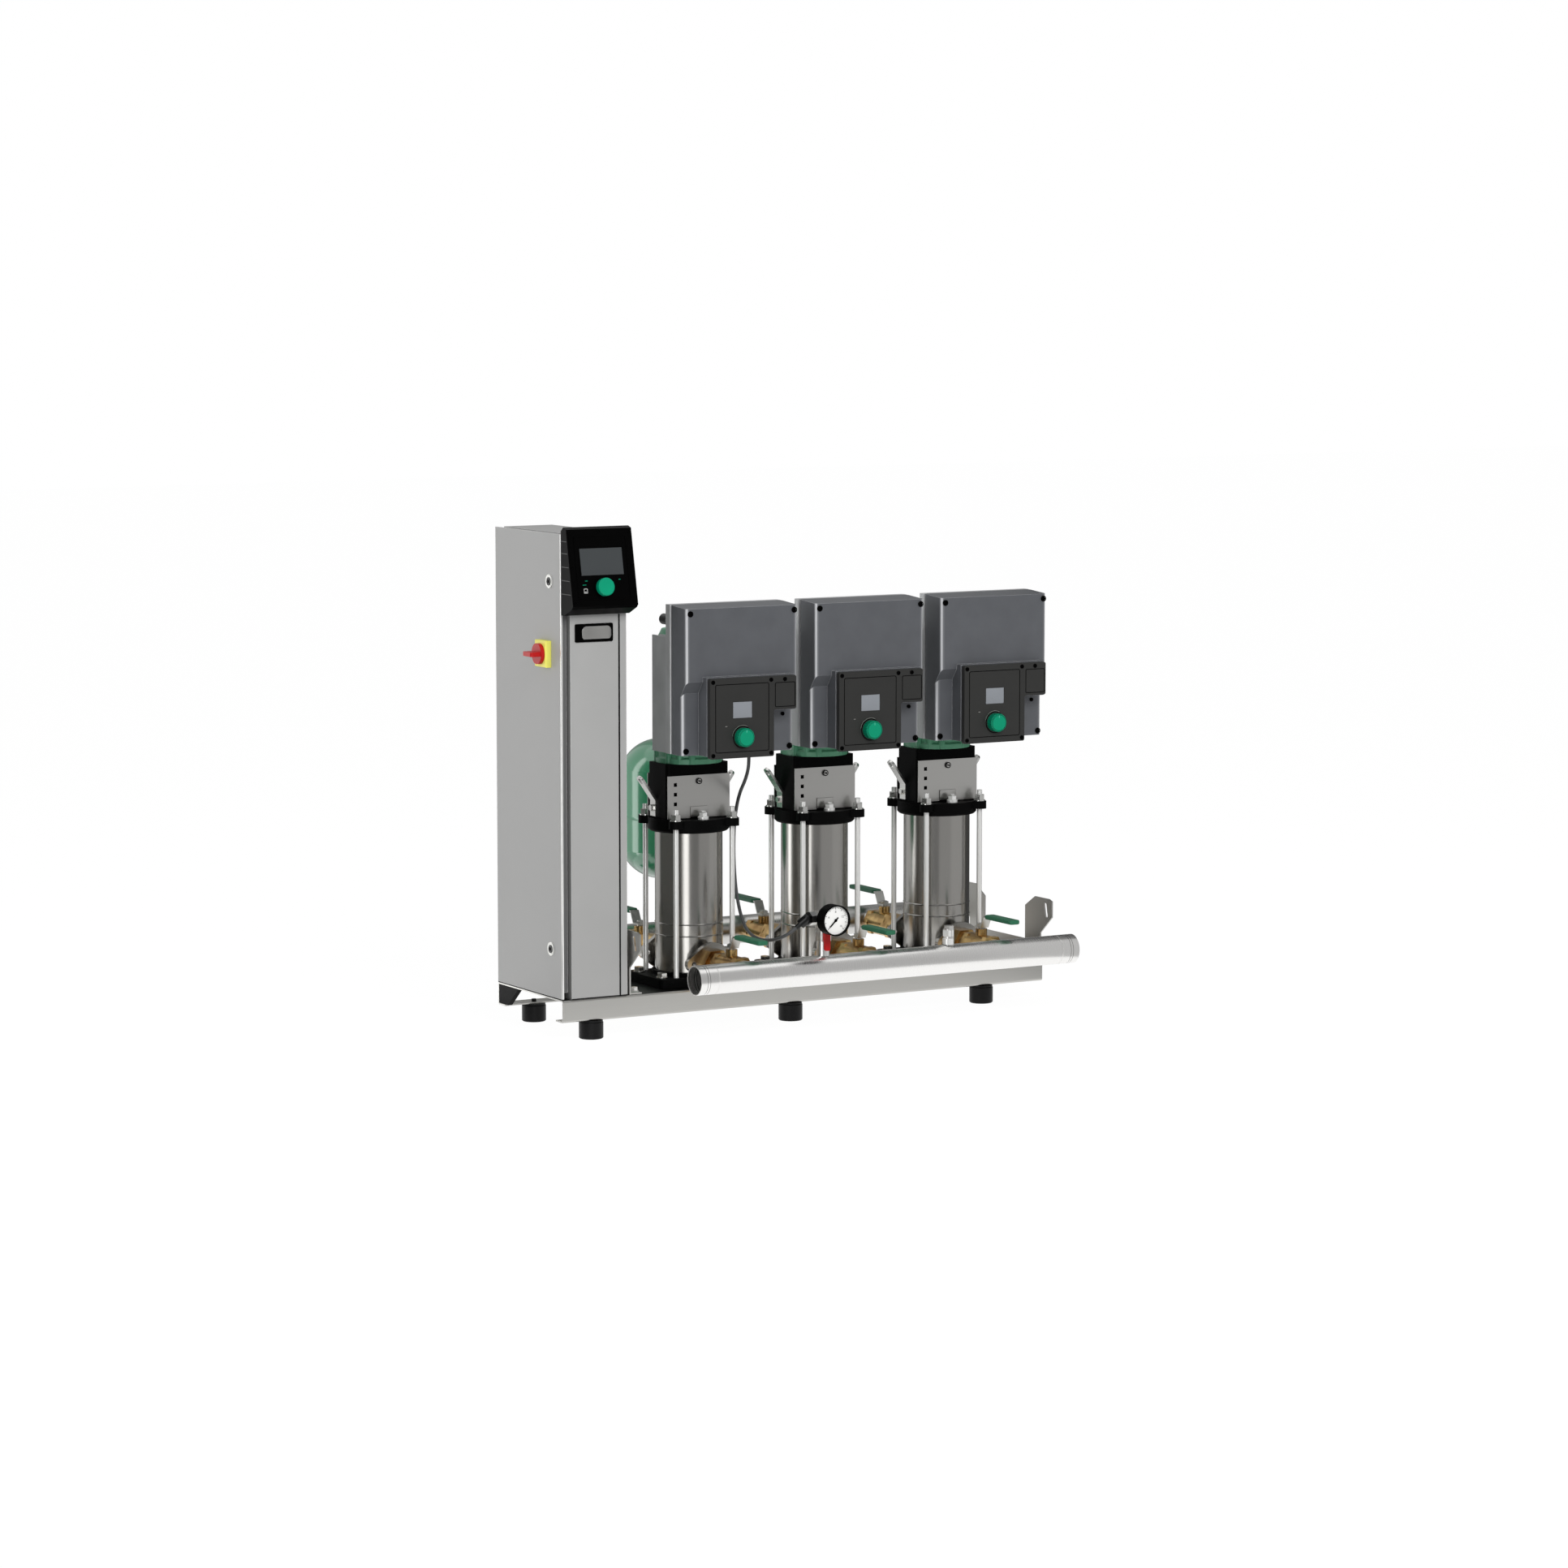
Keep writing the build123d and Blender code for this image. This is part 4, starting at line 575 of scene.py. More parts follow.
def display_glass(name, colour):
    pane = Finish(name, Coat_Weight=0.3, Coat_Roughness=0.04, Roughness=0.3)
    pane.feed("Base Color", pane.mix(pane.noise(40.0, 1.0), shade_of(colour, 0.94), colour))
    return pane.material


large_screen = display_glass("cabinet_display_glass", tint(56, 60, 62))
small_screen = display_glass("converter_display_glass", tint(136, 140, 146))
print("vessel lacquer", vessel_lacquer.name)

# %% [markdown]
# A valve lever is one solid in the model: a bent steel arm with a green sleeve. The sleeve could
# be a separate mesh, but a mask by place is enough to colour it: everything further out than the
# arm's bend is green. The mask reads the object's own coordinates, so it turns with the lever.
# The pressure sensor's steel body and black connector are told apart in the same way.

# %% Lever arms with green sleeves, sensor
BEND_OUT = 28.0
FRONT_VALVE_Y = PUMP_Y - 180.0
REAR_VALVE_Y = PUMP_Y + 214.0
SENSOR_STEEL_X = 466.0


def lever_finish(name, edge_y, sign):
    lever = Finish(name)
    lever.soften(0.6)
    sleeve = (lever.axes()[1] * sign) > at_y(edge_y) * sign
    cloud = lever.noise(60.0, 2.0)
    steel = lever.mix(cloud, tint(176, 176, 172), tint(208, 208, 204))
    lever.feed("Base Color", lever.mix(sleeve, steel, GRIP_GREEN))
    lever.feed("Metallic", 1 - sleeve)
    lever.feed("Roughness", sleeve * 0.15 + cloud * 0.1 + 0.26)
    lever.bump(lever.noise(700.0, 2.0), 0.03)
    return lever.material


def sensor_finish(name, steel_from):
    sensor = Finish(name)
    sensor.soften(0.5)
    steel = sensor.axes()[0] > at_x(steel_from)
    sensor.feed("Base Color", sensor.mix(steel, DEEP_BLACK, tint(232, 232, 229)))
    sensor.feed("Metallic", steel * 1.0)
    sensor.feed("Roughness", sensor.noise(30.0) * 0.1 + 0.24)
    return sensor.material


front_lever_finish = lever_finish("front_lever_steel", FRONT_VALVE_Y - BEND_OUT, -1)
rear_lever_finish = lever_finish("rear_lever_steel", REAR_VALVE_Y + BEND_OUT, 1)
sensor_steel = sensor_finish("sensor_black_and_steel", SENSOR_STEEL_X)
print("sleeves start", BEND_OUT, "mm out")

# %% [markdown]
# Every solid that stays visible needs one of these finishes. The table goes from a node's name to
# its material and the loop hangs the material on the object, which leaves its mesh alone.

# %% Finishes on the solids
NODE_FINISH = {
    "base_frame": base_steel, "rubber_buffers": buffer_rubber, "lug_plates": lug_steel,
    "cabinet_body": sheet_paint, "cabinet_door": door_paint, "cabinet_stand": sheet_paint,
    "door_lock_upper": lock_steel, "door_lock_lower": lock_steel,
    "main_switch_plate": yellow_plastic, "main_switch_handle": red_plastic,
    # The base's end bracket wears black: its black is painted shade, where the base's folded end stands in
    # shadow.
    "switchgear": switch_plastic, "base_end_bracket": black_plastic,
    "display_housing": black_plastic, "display_screen": large_screen,
    "display_knob": green_plastic, "converter_heatsinks": bare_casting,
    "coupling_guards": guard_steel, "lifting_ears": plated_steel, "tie_rods": rod_steel,
    "pump_fasteners": plated_steel, "valve_bodies": brass, "front_header": tube_steel,
    "rear_header": rear_steel, "gauge_case": black_plastic, "gauge_needle": black_plastic,
    "gauge_cock": red_plastic, "pressure_sensor": sensor_steel, "pressure_vessel": vessel_lacquer,
    "sensor_cable": cable_sheath,
}
PUMP_FINISH = {
    "foot": black_cast, "shell": shell_steel, "head": black_cast, "rotor": plated_steel,
    "motor": motor_green, "converter_cover": converter_grey, "control_panel": panel_plastic,
    "front_lever": front_lever_finish, "rear_lever": rear_lever_finish,
}
for number, pump_x in enumerate(PUMP_XS, 1):
    for piece, material in PUMP_FINISH.items():
        NODE_FINISH[f"pump_{number}_{piece}"] = material
    NODE_FINISH[f"pump_{number}_knob"] = knob_finish(
        f"converter_knob_{number}", pump_x + KNOB_X, BASE_TOP + KNOB_UP, KNOB_FACE)


def wear(piece, material):
    """Hangs one material on the piece's own slot."""
    if not piece.material_slots:
        piece.data.materials.append(None)
    for slot in piece.material_slots:
        slot.link = "OBJECT"
        slot.material = material
    return piece


for node_name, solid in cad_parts.items():
    wear(solid, NODE_FINISH[node_name])
wear(cable, cable_sheath)
print("finished", len(NODE_FINISH), "nodes")

# %% [markdown]
# Small parts such as screws, dials and badges are built as meshes of a few polygons with a
# bevelled edge, because the bevel is what catches the light. Most start as a flat outline. One
# function draws a rectangle with round corners, another moves an outline inwards for the bevel.

# %% Outlines


def rounded(width, height, radius, steps=5):
    """The outline of a rectangle with round corners, counter-clockwise."""
    outline = []
    for k, (sx, sy) in enumerate(((1, -1), (1, 1), (-1, 1), (-1, -1))):
        centre_x = sx * (width / 2 - radius)
        centre_y = sy * (height / 2 - radius)
        for step in range(steps + 1):
            angle = math.radians(-90 + 90 * k + 90 * step / steps)
            outline.append((centre_x + radius * math.cos(angle), centre_y + radius * math.sin(angle)))
    return outline


def shrink(outline, by):
    """Moves an outline's points inwards along the corners' bisectors."""
    count = len(outline)
    moved = []
    for k in range(count):
        before = Vector(outline[k - 1])
        here = Vector(outline[k])
        after = Vector(outline[(k + 1) % count])
        first = (here - before).normalized()
        second = (after - here).normalized()
        inward = Vector((-first.y - second.y, first.x + second.x))
        if inward.length < 1e-9:
            inward = Vector((-first.y, first.x))
        inward.normalize()
        half = max(0.4, inward.dot(Vector((-first.y, first.x))))
        moved.append(tuple(here + inward * by / half))
    return moved


print("a round-cornered outline has", len(rounded(20, 10, 2)), "points")

# %% [markdown]
# Two helpers make nearly every shape: one turns a profile round an axis, the other gives
# thickness to an outline. Each adds to an open bmesh, so that all screws of one kind become a
# single piece.

# %% Turned and thickened shapes


def turn(mesh, profile, matrix, steps=32):
    """Turns (radius, height) points round the matrix's Z axis."""
    rings = []
    for radius, height in profile:
        if radius < 1e-6:
            rings.append([mesh.verts.new(matrix @ Vector((0, 0, height)))])
            continue
        ring = []
        for k in range(steps):
            angle = 2 * math.pi * k / steps
            spot = Vector((radius * math.cos(angle), radius * math.sin(angle), height))
            ring.append(mesh.verts.new(matrix @ spot))
        rings.append(ring)
    for low, high in zip(rings, rings[1:]):
        for k in range(steps):
            after = (k + 1) % steps
            corners = [low[k % len(low)], low[after % len(low)]]
            corners += [high[after % len(high)], high[k % len(high)]]
            corners = list(dict.fromkeys(corners))
            if len(corners) > 2:
                mesh.faces.new(corners)


def rings_of(mesh, layers, matrix):
    """One ring of new corners for each outline and height."""
    return [[mesh.verts.new(matrix @ Vector((x, y, z))) for x, y in line] for line, z in layers]


def bridge(mesh, rings):
    """Joins each ring to the next one with a band of faces."""
    for below, above in zip(rings, rings[1:]):
        for k in range(len(below)):
            after = (k + 1) % len(below)
            mesh.faces.new((below[k], below[after], above[after], above[k]))


def thicken(mesh, outline, low, high, matrix, bevel=0.0):
    """A plate from an outline, with its upper edge bevelled."""
    layers = [(outline, low), (outline, high - bevel)]
    if bevel:
        layers += [(shrink(outline, bevel * 0.4), high - bevel * 0.3), (shrink(outline, bevel), high)]
    rings = rings_of(mesh, layers, matrix)
    bridge(mesh, rings)
    mesh.faces.new(rings[-1])
    mesh.faces.new(list(reversed(rings[0])))
    return mesh


def hoop(mesh, outline, width, low, high, matrix):
    """A flat frame of the given width inside an outline."""
    inner = shrink(outline, width)
    rings = rings_of(mesh, [(outline, low), (outline, high), (inner, high), (inner, low)], matrix)
    bridge(mesh, rings + rings[:1])


def arc_mark(mesh, matrix, radius, width, start, end):
    """A thin raised arc round the matrix's Z axis, from one angle to another in degrees."""
    angles = [math.radians(start + (end - start) * k / 12) for k in range(13)]
    outline = [((radius + width) * math.cos(a), (radius + width) * math.sin(a)) for a in angles]
    outline += [(radius * math.cos(a), radius * math.sin(a)) for a in reversed(angles)]
    thicken(mesh, outline, -0.3, 0.3, matrix)


sample = thicken(bmesh.new(), rounded(20, 10, 2), 0.0, 1.0, Matrix.Identity(4), 0.2)
print("a bevelled plate has", len(sample.faces), "faces")
sample.free()

# %% [markdown]
# A piece of the set is an object that rides on one of the bodies, so that it moves with it, and that says
# which slot its look belongs to. All small pieces but the strips of painted highlight on the door's edge
# ride on the fixed frame. Faces are shaded smooth up to an angle of 35 degrees.

# %% Pieces of the set


def mesh_data(name, mesh):
    """Turns an open bmesh into mesh data."""
    data = bpy.data.meshes.new(name)
    mesh.to_mesh(data)
    mesh.free()
    return data


def piece_of(name, mesh, material, body="frame"):
    """Turns the bmesh into a piece of the set that rides on a body."""
    bmesh.ops.recalc_face_normals(mesh, faces=mesh.faces)
    data = mesh_data(name, mesh)
    data.polygons.foreach_set("use_smooth", [True] * len(data.polygons))
    data.set_sharp_from_angle(angle=math.radians(35.0))
    made = wear(put(name, data), material)
    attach(made, body)
    print(name, len(data.polygons), "faces on", body)


# %% [markdown]
# Screws tell how a thing was put together. The converters have black cap screws in their corners
# and small ones round the control panel. Each is a turned head with a six-sided socket. The
# socket could be cut with a boolean, but a turned profile whose steps drop from 24 sides to 6
# looks the same from any distance and is much lighter.

# %% Screws
COVER_UPPER_Y = PUMP_Y - 216.0
COVER_LOWER_Y = PUMP_Y - 198.0
PANEL_FRONT_Y = PUMP_Y - 243.0
COVER_SCREWS = ((-114, COVER_UPPER_Y, 778), (126, COVER_UPPER_Y, 778),
                (-115, COVER_LOWER_Y, 500), (125, COVER_LOWER_Y, 500))
PANEL_SCREWS = ((-77, 493), (-77, 641), (57, 493), (57, 641), (89, 641))


def cap_screw(mesh, matrix, diameter, height):
    """A round head that stands out by its height, with a six-sided socket."""
    radius = diameter / 2
    turn(mesh, [(radius, -0.5), (radius, height * 0.7), (radius * 0.86, height),
                (radius * 0.55, height)], matrix, 24)
    turn(mesh, [(radius * 0.58, height), (radius * 0.5, height * 0.35), (0, height * 0.3)], matrix, 6)


cover_screws = bmesh.new()
panel_screws = bmesh.new()
for pump_x in PUMP_XS:
    for x, y, z in COVER_SCREWS:
        cap_screw(cover_screws, facing(pump_x + x, y, BASE_TOP + z, FRONT), 12.0, 3.0)
    for x, z in PANEL_SCREWS:
        cap_screw(panel_screws, facing(pump_x + x, PANEL_FRONT_Y, BASE_TOP + z, FRONT), 8.6, 1.6)
    cap_screw(cover_screws, facing(pump_x + 109, COVER_LOWER_Y, BASE_TOP + 566, FRONT), 8.0, 3.0)
piece_of("converter_cover_screws", cover_screws, black_plastic)
piece_of("control_panel_screws", panel_screws, black_plastic)

# %% [markdown]
# Thin strips of black rubber draw dark lines where two sheets meet: an upright one between the front panel
# and the stand, one under the front panel and one under the door. They stand partly for rubber seals and
# partly for painted shade in the gaps between the sheets.

# %% Cabinet seals and painted gap shade
SEAL_TOP = 860.0
upright_seal = facing(130.6, 0, (SEAL_TOP + BASE_TOP) / 2, FRONT)
front_seal = facing(83.5, 0, BASE_TOP + 1.2, FRONT)
door_seal = facing(0, 145, BASE_TOP + 1.0, LEFT)
seals = bmesh.new()
thicken(seals, rounded(3.6, SEAL_TOP - BASE_TOP, 0.6), -0.5, 0.4, upright_seal, 0.1)
thicken(seals, rounded(127, 2.2, 0.6), -0.5, 0.4, front_seal, 0.1)
thicken(seals, rounded(290, 1.8, 0.5), -0.5, 0.2, door_seal, 0.1)
piece_of("cabinet_seals", seals, buffer_rubber)

# %% [markdown]
# Each front guard gets the piece of its sheet that stands behind the vent plug. The guards'
# screws, in front and at the back, get a black ring round the head and a six-sided socket.

# %% Guard tongues and screws
GUARD_OUT = 46.5
GUARD_SCREW_Z = 503.4
tongues = bmesh.new()
screw_rings = bmesh.new()
screw_sockets = bmesh.new()
for pump_x in PUMP_XS:
    spot = facing(pump_x, 66.9, 440.8, FRONT)
    thicken(tongues, rounded(39.6, 21.2, 0.4), -0.4, 0.6, spot, 0.1)
    for y, way in ((PUMP_Y - GUARD_OUT, FRONT), (PUMP_Y + GUARD_OUT, BACK)):
        spot = facing(pump_x, y, GUARD_SCREW_Z, way)
        turn(screw_rings, [(6.4, -0.4), (6.4, 0.25), (4.5, 0.25)], spot)
        turn(screw_sockets, [(2.2, 2.9), (2.2, 3.1), (0, 3.1)], spot, 6)
piece_of("guard_tongues", tongues, guard_steel)
piece_of("guard_screw_rings", screw_rings, black_plastic)
piece_of("guard_screw_sockets", screw_sockets, black_plastic)

# %% [markdown]
# Small turned parts finish the castings. In front of each lantern stands a vent plug: a round
# collar, a hexagon and a pin. Eight round bosses stand on each motor's flange.

# %% Vent plugs and flange bosses
BOSS_COUNT = 8
BOSS_CIRCLE = 64.5
vent_plugs = bmesh.new()
flange_bosses = bmesh.new()
for pump_x in PUMP_XS:
    spot = upright(pump_x, 50, 426)
    turn(vent_plugs, [(11.5, 0.0), (11.5, 5.0), (10.6, 6.2), (8.2, 6.2)], spot)
    turn(vent_plugs, [(9.6, 5.0), (9.6, 13.0), (8.6, 14.2), (0, 14.2)], spot, 6)
    turn(vent_plugs, [(5.2, 14), (5.2, 17.2), (4.4, 18.2), (0, 18.2)], spot)
    for k in range(BOSS_COUNT):
        angle = math.radians(360 / BOSS_COUNT * (k + 0.5))
        boss_x = pump_x + BOSS_CIRCLE * math.cos(angle)
        boss_y = PUMP_Y + BOSS_CIRCLE * math.sin(angle)
        spot = upright(boss_x, boss_y, 540.5)
        turn(flange_bosses, [(0, 0), (7.0, 0), (7.0, 22.0), (6.0, 23.5), (0, 23.5)], spot, 24)
piece_of("vent_plug_heads", vent_plugs, rod_steel)
piece_of("motor_flange_bosses", flange_bosses, motor_green)

# %% [markdown]
# Two fittings stand on the front header: a round neck under a hexagon, the second one lower than
# the first. One bolt stands in the base's top, near the cabinet's stand.

# %% Header fittings and base bolt
FRONT_HEADER_Y = -184.0
FITTING_FOOT_Z = 165.0
fittings = bmesh.new()
for x, high in ((498.5, 47.0), (797.2, 30.0)):
    spot = upright(x, FRONT_HEADER_Y, FITTING_FOOT_Z)
    turn(fittings, [(12.0, 0), (12.0, high * 0.4), (9.5, high * 0.42), (9.5, high * 0.55)], spot)
    turn(fittings, [(9.6, high * 0.54), (12.6, high * 0.56), (12.6, high - 1.4), (11.6, high),
                    (9.3, high)], spot, 6)
piece_of("header_fittings", fittings, rod_steel)
floor_bolt = bmesh.new()
spot = upright(183.3, 38.2, 88.0)
turn(floor_bolt, [(9.0, -3.9), (9.0, -1.5), (6.5, -1.5)], spot)
turn(floor_bolt, [(7.5, -1.6), (7.5, 4.2), (6.6, 5.4), (0, 5.4)], spot, 6)
piece_of("base_sheet_bolt", floor_bolt, rod_steel)

# %% [markdown]
# The door's front edge catches the light along its whole height. Two thin strips of bright steel, one on
# each side of the corner, are a painted highlight there: a mask on the paint could do this, but the strips
# keep it crisp. They ride on the door.

# %% Painted highlight on the door's edge
STRIP_HEIGHT = 936.0
DOOR_MIDDLE_Z = 555.0
edge_strip = bmesh.new()
side_strip = facing(0, 2.4, DOOR_MIDDLE_Z, LEFT)
front_strip = facing(1.6, 0, DOOR_MIDDLE_Z, FRONT)
thicken(edge_strip, rounded(4.0, STRIP_HEIGHT, 0.8), -0.3, 0.15, side_strip, 0.05)
thicken(edge_strip, rounded(2.0, STRIP_HEIGHT, 0.8), -0.3, 0.15, front_strip, 0.05)
piece_of("door_edge_highlight", edge_strip, rod_steel, body="door")

# %% [markdown]
# The control panel is one dark moulding with a raised inner field round the window and the knob.
# A thin frame of plastic half a millimetre proud draws the field's edge; the window's pane lies
# in the recess that the solid already has.

# %% Control panel details
PANEL_MIDDLE = -10.0
WINDOW_UP = 583.0
panel_fields = bmesh.new()
window_panes = bmesh.new()
panel_marks = bmesh.new()
side_lids = bmesh.new()
for pump_x in PUMP_XS:
    field = facing(pump_x + PANEL_MIDDLE, PANEL_FRONT_Y, BASE_TOP + 567, FRONT)
    hoop(panel_fields, rounded(124, 138, 4), 1.2, -0.5, 0.5, field)
    pane = facing(pump_x + KNOB_X, PANEL_FRONT_Y + 1.2, BASE_TOP + WINDOW_UP, FRONT)
    thicken(window_panes, rounded(43.6, 32.6, 0.8), 0.05, 0.7, pane, 0.2)
    knob_ring = facing(pump_x + KNOB_X, PANEL_FRONT_Y, BASE_TOP + KNOB_UP, FRONT)
    turn(panel_fields, [(22.5, -0.5), (22.5, 0.7), (21.0, 0.7), (21.0, -0.5)], knob_ring, 48)
    mark = facing(pump_x - 47, PANEL_FRONT_Y, BASE_TOP + 551, FRONT)
    thicken(panel_marks, rounded(5, 1.2, 0.5), -0.2, 0.25, mark)
    arc_mark(panel_marks, knob_ring, 23.5, 0.7, 62, 172)
    lid = facing(pump_x + 89.5, PANEL_FRONT_Y, BASE_TOP + 610, FRONT)
    hoop(side_lids, rounded(47, 50, 3), 1.2, -0.5, 0.5, lid)
piece_of("panel_field_frames", panel_fields, black_plastic)
piece_of("converter_window_panes", window_panes, small_screen)
piece_of("panel_lamp_marks", panel_marks, lug_steel)
piece_of("side_cover_frames", side_lids, black_plastic)

# %% [markdown]
# The gauge is what people look at first, so it gets a real dial: a white disc and 32 steps along
# an arc of 270 degrees, with a longer and wider tick at every fourth step.

# %% Gauge dial and ticks
DIAL_PLACE = (499.0, -233.1, 241.0)
DIAL_START = 225.0
DIAL_SWEEP = 270.0
TICK_STEPS = 32
TICK_OUTER = 27.0
TICK_INNER = 24.4
LONG_TICK_INNER = 22.0


def dial_angle(share):
    """The bearing at a share of the scale, from 0 at its start to 1 at its end."""
    return math.radians(DIAL_START - DIAL_SWEEP * share)


dial_paint = moulded("dial_white", tint(238, 238, 235), 0.5, 0.005, 0.2)
dial_black = moulded("dial_black", tint(20, 20, 20), 0.5, 0.005, 0.2)
dial_spot = facing(*DIAL_PLACE, FRONT)
dial = bmesh.new()
turn(dial, [(28.8, 0.0), (28.8, 0.35), (2.6, 0.35), (2.6, 0.0)], dial_spot, 64)
piece_of("gauge_dial", dial, dial_paint)
ticks = bmesh.new()
for k in range(TICK_STEPS + 1):
    inner, width = (LONG_TICK_INNER, 1.0) if k % 4 == 0 else (TICK_INNER, 0.5)
    along = Matrix.Translation(((TICK_OUTER + inner) / 2, 0, 0))
    swung = Matrix.Rotation(dial_angle(k / TICK_STEPS), 4, "Z") @ along
    thicken(ticks, rounded(TICK_OUTER - inner, width, 0.2, 1), 0.3, 0.5, dial_spot @ swung)
piece_of("gauge_ticks", ticks, dial_black)

# %% [markdown]
# The scale reads from 0 to 16. Its numbers are text curves, which stay crisp at any size, and
# each stands upright on a smaller circle than the ticks.

# %% Gauge numbers
FULL_SCALE = 16
NUMBER_RADIUS = 17.4
for reading in range(0, FULL_SCALE + 1, 4):
    text = bpy.data.curves.new(f"gauge_number_{reading}", "FONT")
    text.body = str(reading)
    text.size = 6.4
    text.align_x = "CENTER"
    text.align_y = "CENTER"
    text.extrude = 0.06
    angle = dial_angle(reading / FULL_SCALE)
    number_place = (NUMBER_RADIUS * math.cos(angle), NUMBER_RADIUS * math.sin(angle), 0.42)
    number_piece = put(f"gauge_number_{reading}", text)
    number_piece.matrix_world = dial_spot @ Matrix.Translation(number_place)
    wear(number_piece, dial_black)
    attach(number_piece, "frame")
print("dial reads 0 to", FULL_SCALE)

# %% [markdown]
# The display unit is a moulded wedge with a flat inner field. Everything on it lies on the
# tilted face, so the face's own slope sets the matrix. Its field frame, the frame round its
# screen, the ring round its knob and its seven screws are one thin black piece.

# %% Display frames and screws
DISPLAY_MIDDLE = 73.5
DISPLAY_TOP = Vector((DISPLAY_MIDDLE, -22.0, 1034.0))
DISPLAY_LOW = Vector((DISPLAY_MIDDLE, -52.0, 882.0))
down_face = (DISPLAY_LOW - DISPLAY_TOP).normalized()
face_out = Vector((0, down_face.z, -down_face.y)).normalized()


def on_display(x, down):
    """A matrix on the display's face, at x from its left end and a distance down from its top."""
    spot = DISPLAY_TOP + down_face * down
    return facing(x, spot.y, spot.z, face_out)


display_knob_spot = on_display(DISPLAY_MIDDLE, 118)
display_trim = bmesh.new()
hoop(display_trim, rounded(118, 128, 5), 1.6, -0.5, 0.8, on_display(DISPLAY_MIDDLE, 78))
hoop(display_trim, rounded(100, 59, 2), 1.4, -0.5, 0.6, on_display(DISPLAY_MIDDLE, 66))
turn(display_trim, [(22.5, -0.5), (22.5, 1.0), (20.5, 1.0), (20.5, -0.5)], display_knob_spot, 48)
for x in (6, 141):
    for down in (7, 76, 147):
        cap_screw(display_trim, on_display(x, down), 7.0, 1.2)
cap_screw(display_trim, on_display(DISPLAY_MIDDLE, 5), 7.0, 1.2)
piece_of("display_trim", display_trim, black_plastic)

# %% [markdown]
# Beside the display's knob are an arc, a few lamp marks and a plain sign, all a fifth of a
# millimetre or so proud. Five thin ribs run across its left side. The side gets deeper towards
# the bottom, and so each rib is longer than the one above it.

# %% Display marks and ribs
RIB_TOP_DEPTH = 24.0
RIB_SLOPE = 0.17
RIB_MARGIN = 3.0
display_marks = bmesh.new()
for x, down, width in ((35, 104, 6), (30, 112, 8), (110, 103, 5)):
    thicken(display_marks, rounded(width, 1.1, 0.4), -0.2, 0.2, on_display(x, down))
arc_mark(display_marks, display_knob_spot, 21.0, 0.8, 95, 178)
piece_of("display_lamp_marks", display_marks, green_plastic)
pictogram = bmesh.new()
hoop(pictogram, rounded(8.5, 9.5, 1.2), 1.0, -0.2, 0.2, on_display(32, 124))
thicken(pictogram, rounded(4.0, 1.4, 0.4), -0.2, 0.2, on_display(31.5, 126))
piece_of("display_pictogram", pictogram, switch_plastic)
side_ribs = bmesh.new()
for z in (905, 932, 959, 986, 1010):
    depth = RIB_TOP_DEPTH + (DISPLAY_TOP.z - z) * RIB_SLOPE
    rib = rounded(depth - 2 * RIB_MARGIN, 1.6, 0.5)
    thicken(side_ribs, rib, -0.3, 0.5, facing(0.2, -depth / 2, z, LEFT))
piece_of("display_side_ribs", side_ribs, panel_plastic)

# %% [markdown]
# Under the display the cabinet carries a black frame with a bare metal plate. The plate has
# round corners and a lower edge that is cut straight.

# %% Bare plate on the cabinet
PLATE_FOOT = -12.0
badge = bmesh.new()
thicken(badge, rounded(85.5, 37, 3), -0.5, 3.0, facing(73.2, 0.0, 824.5, FRONT), 0.8)
piece_of("badge_frame", badge, black_plastic)
plate = bmesh.new()
plate_outline = [(x, max(y, PLATE_FOOT)) for x, y in rounded(66, 28, 10, 8)]
thicken(plate, plate_outline, 2.8, 3.8, facing(78.3, 0.0, 824.0, FRONT), 0.4)
piece_of("badge_plate", plate, guard_steel)

# %% [markdown]
# The studio is plain: a white floor and a white world. The world counts as white where the camera
# or a reflection sees it and is dimmer as a light, so that pale sheet keeps its own colour. The
# floor does the same and keeps the set's shadow.

# %% Floor
FLOOR_HALF = 20.0
FLOOR_GLOW = 1.04
FLOOR_GLOW_SHARE = 0.93
floor_outline = [(sx * FLOOR_HALF, sy * FLOOR_HALF) for sx, sy in ((-1, -1), (1, -1), (1, 1), (-1, 1))]
floor_mesh = bmesh.new()
thicken(floor_mesh, floor_outline, -0.02, 0.0, Matrix.Identity(4))
bmesh.ops.recalc_face_normals(floor_mesh, faces=floor_mesh.faces)
floor = put("studio_floor", mesh_data("studio_floor", floor_mesh))
floor_paint = Finish("studio_floor_white", Roughness=0.9)
floor_cloud = floor_paint.noise(0.5, 1.0)
floor_paint.feed("Base Color", floor_paint.mix(floor_cloud, (0.80, 0.80, 0.80, 1), (0.84, 0.84, 0.84, 1)))
camera_ray, glossy_ray = floor_paint.outputs("ShaderNodeLightPath", ("Is Camera Ray", "Is Glossy Ray"))
white = floor_paint.node("ShaderNodeEmission", None, {"Strength": FLOOR_GLOW})
lit = Flow(floor_paint, floor_paint.shader.outputs[0])
share = (camera_ray + glossy_ray) * FLOOR_GLOW_SHARE
seen = floor_paint.node("ShaderNodeMixShader", None, {0: share, 1: lit, 2: white})
floor_paint.tree.links.new(seen.socket, floor_paint.tree.nodes["Material Output"].inputs[0])
wear(floor, floor_paint.material)
print("floor", 2 * FLOOR_HALF, "m wide")

# %% [markdown]
# The world's shader is a node tree too, so the same class of networks serves it. The kinds of ray
# that may see it as plain white are added up; every other ray gets the ambient light.

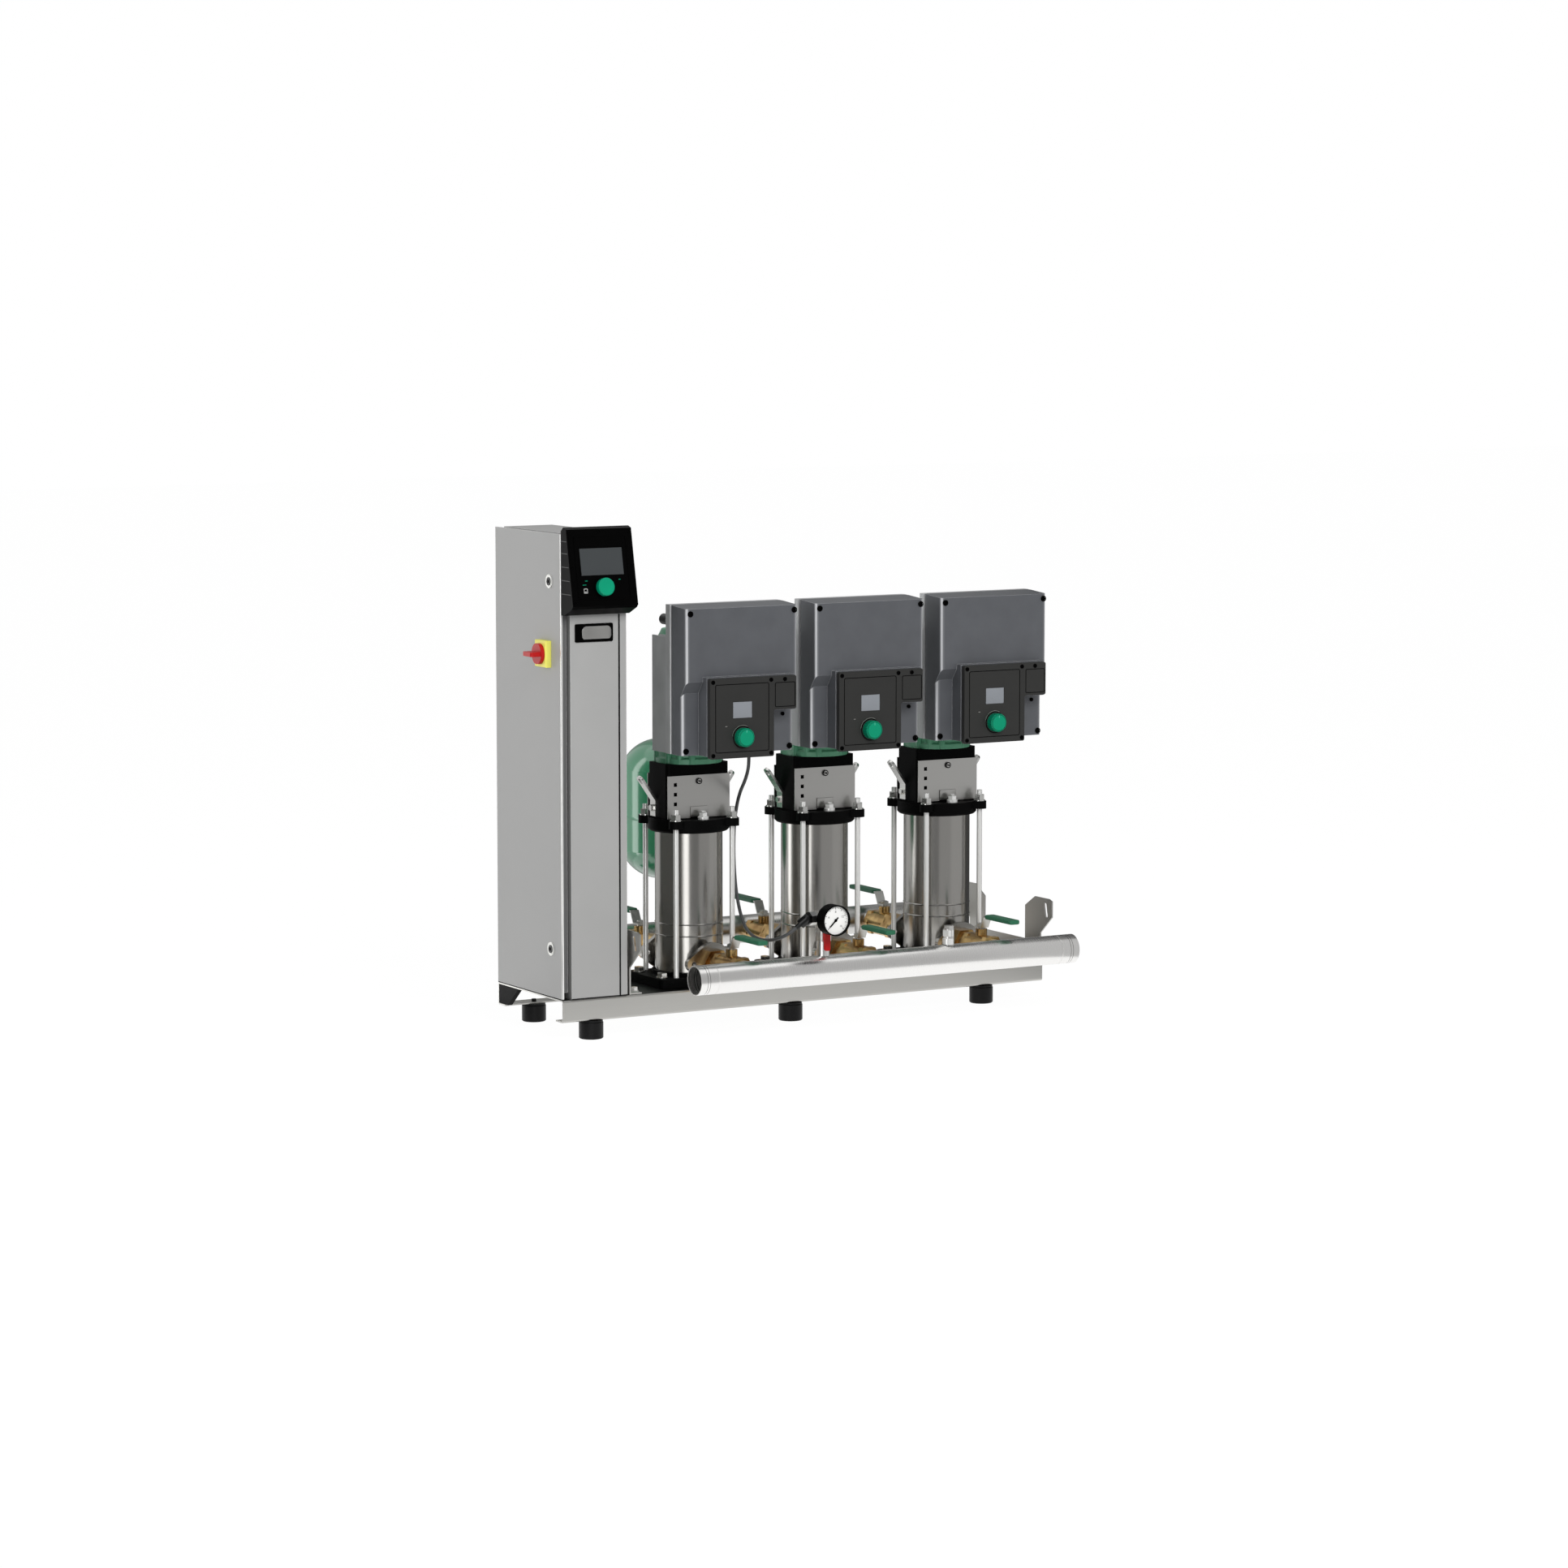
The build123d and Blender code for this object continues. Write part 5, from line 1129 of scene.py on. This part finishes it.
# %% World
AMBIENT = 0.42
world = bpy.data.worlds.new("studio_white")
bpy.context.scene.world = world
world.use_nodes = True
sky = Network(world.node_tree)
seen_rays = sky.outputs("ShaderNodeLightPath", ("Is Camera Ray", "Is Glossy Ray", "Is Transmission Ray"))
shown = seen_rays[0] + seen_rays[1] + seen_rays[2]
background = sky.tree.nodes["Background"]
background.inputs["Color"].default_value = (1, 1, 1, 1)
sky.tree.links.new((shown * (1 - AMBIENT) + AMBIENT).socket, background.inputs["Strength"])
print("world gives", AMBIENT, "as light and 1.0 as background")

# %% [markdown]
# Polished steel looks like whatever stands round it. A photographer places grey cards and narrow
# white lamps round such a thing, and the cards' edges become the bands on the pumps' shells. Here
# upright cards stand in a ring. Only reflections see them, so they throw no shadow and hide
# nothing. An angle of 0 is the camera's side, and it grows towards the right of the picture.

# %% Reflection cards
CARD_DISTANCE = 1.2
CARD_HEIGHT = 1.6
CARD_LIFT = 0.002
CARD_STEP = 10
SWEEP = 0.62
TOWARDS_CAMERA = Vector((-0.4989, -0.8667, 0))
TOWARDS_RIGHT = Vector((0.8667, -0.4989, 0))
CARDS = (
    ("card_left_dark", -72, -27, 0.0),
    ("card_left_edge", -86, -72, 0.1),
    ("card_left_window", -101, -86, 2.6),
    ("card_key_strip", -22, -7, 2.3),
    ("card_key_edge", -27, -22, 0.4),
    ("card_front_low", -7, 25, 0.25),
    ("card_front_grey", 25, 66, 0.42),
    ("card_front_bright", 66, 104, 0.50),
    ("card_right_dark", 104, 150, 0.08),
    ("card_back_grey", -150, -101, 0.6),
    ("card_behind", 150, 210, 0.25),
)


def card_place(angle):
    """The foot of a card at an angle round the set."""
    turn_by = math.radians(angle)
    return (TOWARDS_CAMERA * math.cos(turn_by) + TOWARDS_RIGHT * math.sin(turn_by)) * CARD_DISTANCE


def reflection_card(name, start, end, glow):
    """A curved upright card with a foot on the floor, from one angle to another."""
    mesh = bmesh.new()
    count = max(1, round((end - start) / CARD_STEP))
    lift = Vector((0, 0, CARD_LIFT))
    columns = []
    for k in range(count + 1):
        foot = card_place(start + (end - start) * k / count)
        spots = (foot * SWEEP + lift, foot + lift, foot + Vector((0, 0, CARD_HEIGHT)))
        columns.append([mesh.verts.new(spot) for spot in spots])
    for here, after in zip(columns, columns[1:]):
        mesh.faces.new((here[0], after[0], after[1], here[1]))
        mesh.faces.new((here[1], after[1], after[2], here[2]))
    card = put(name, mesh_data(name, mesh))
    paper = Finish(name, Base_Color=(0, 0, 0, 1), Roughness=1.0, Specular_IOR_Level=0.0,
                   Emission_Color=(1, 1, 1, 1), Emission_Strength=glow)
    wear(card, paper.material)
    card.visible_camera = False
    card.visible_diffuse = False
    card.visible_shadow = False
    card.visible_transmission = False


for card_name, start, end, glow in CARDS:
    reflection_card(card_name, start, end, glow)
print(len(CARDS), "reflection cards")

# %% [markdown]
# The lamps only light the paint: reflections come from the cards. A large soft key stands above
# and in front of the set, one weaker lamp fills from the left and one from the right.

# %% Lamps
LAMP_AIM = (0.0, 0.0, 0.5)


def soft_lamp(name, place, size, power):
    """A rectangular soft lamp that looks at the middle of the set."""
    data = bpy.data.lights.new(name, "AREA")
    data.shape = "RECTANGLE"
    data.size, data.size_y = size
    data.energy = power
    lamp = put(name, data)
    lamp.location = place
    lamp.rotation_mode = "QUATERNION"
    lamp.rotation_quaternion = (Vector(place) - Vector(LAMP_AIM)).to_track_quat("Z", "Y")
    lamp.visible_glossy = False


soft_lamp("key_lamp", (-0.4, -4.4, 3.1), (2.4, 1.6), 138)
soft_lamp("side_lamp", (-4.6, 0.2, 1.8), (1.2, 2.4), 47)
soft_lamp("right_lamp", (3.8, -2.4, 2.2), (1.2, 2.0), 12)
bpy.context.scene.view_settings.view_transform = "Standard"
print("lamps", [light.name for light in bpy.data.lights])
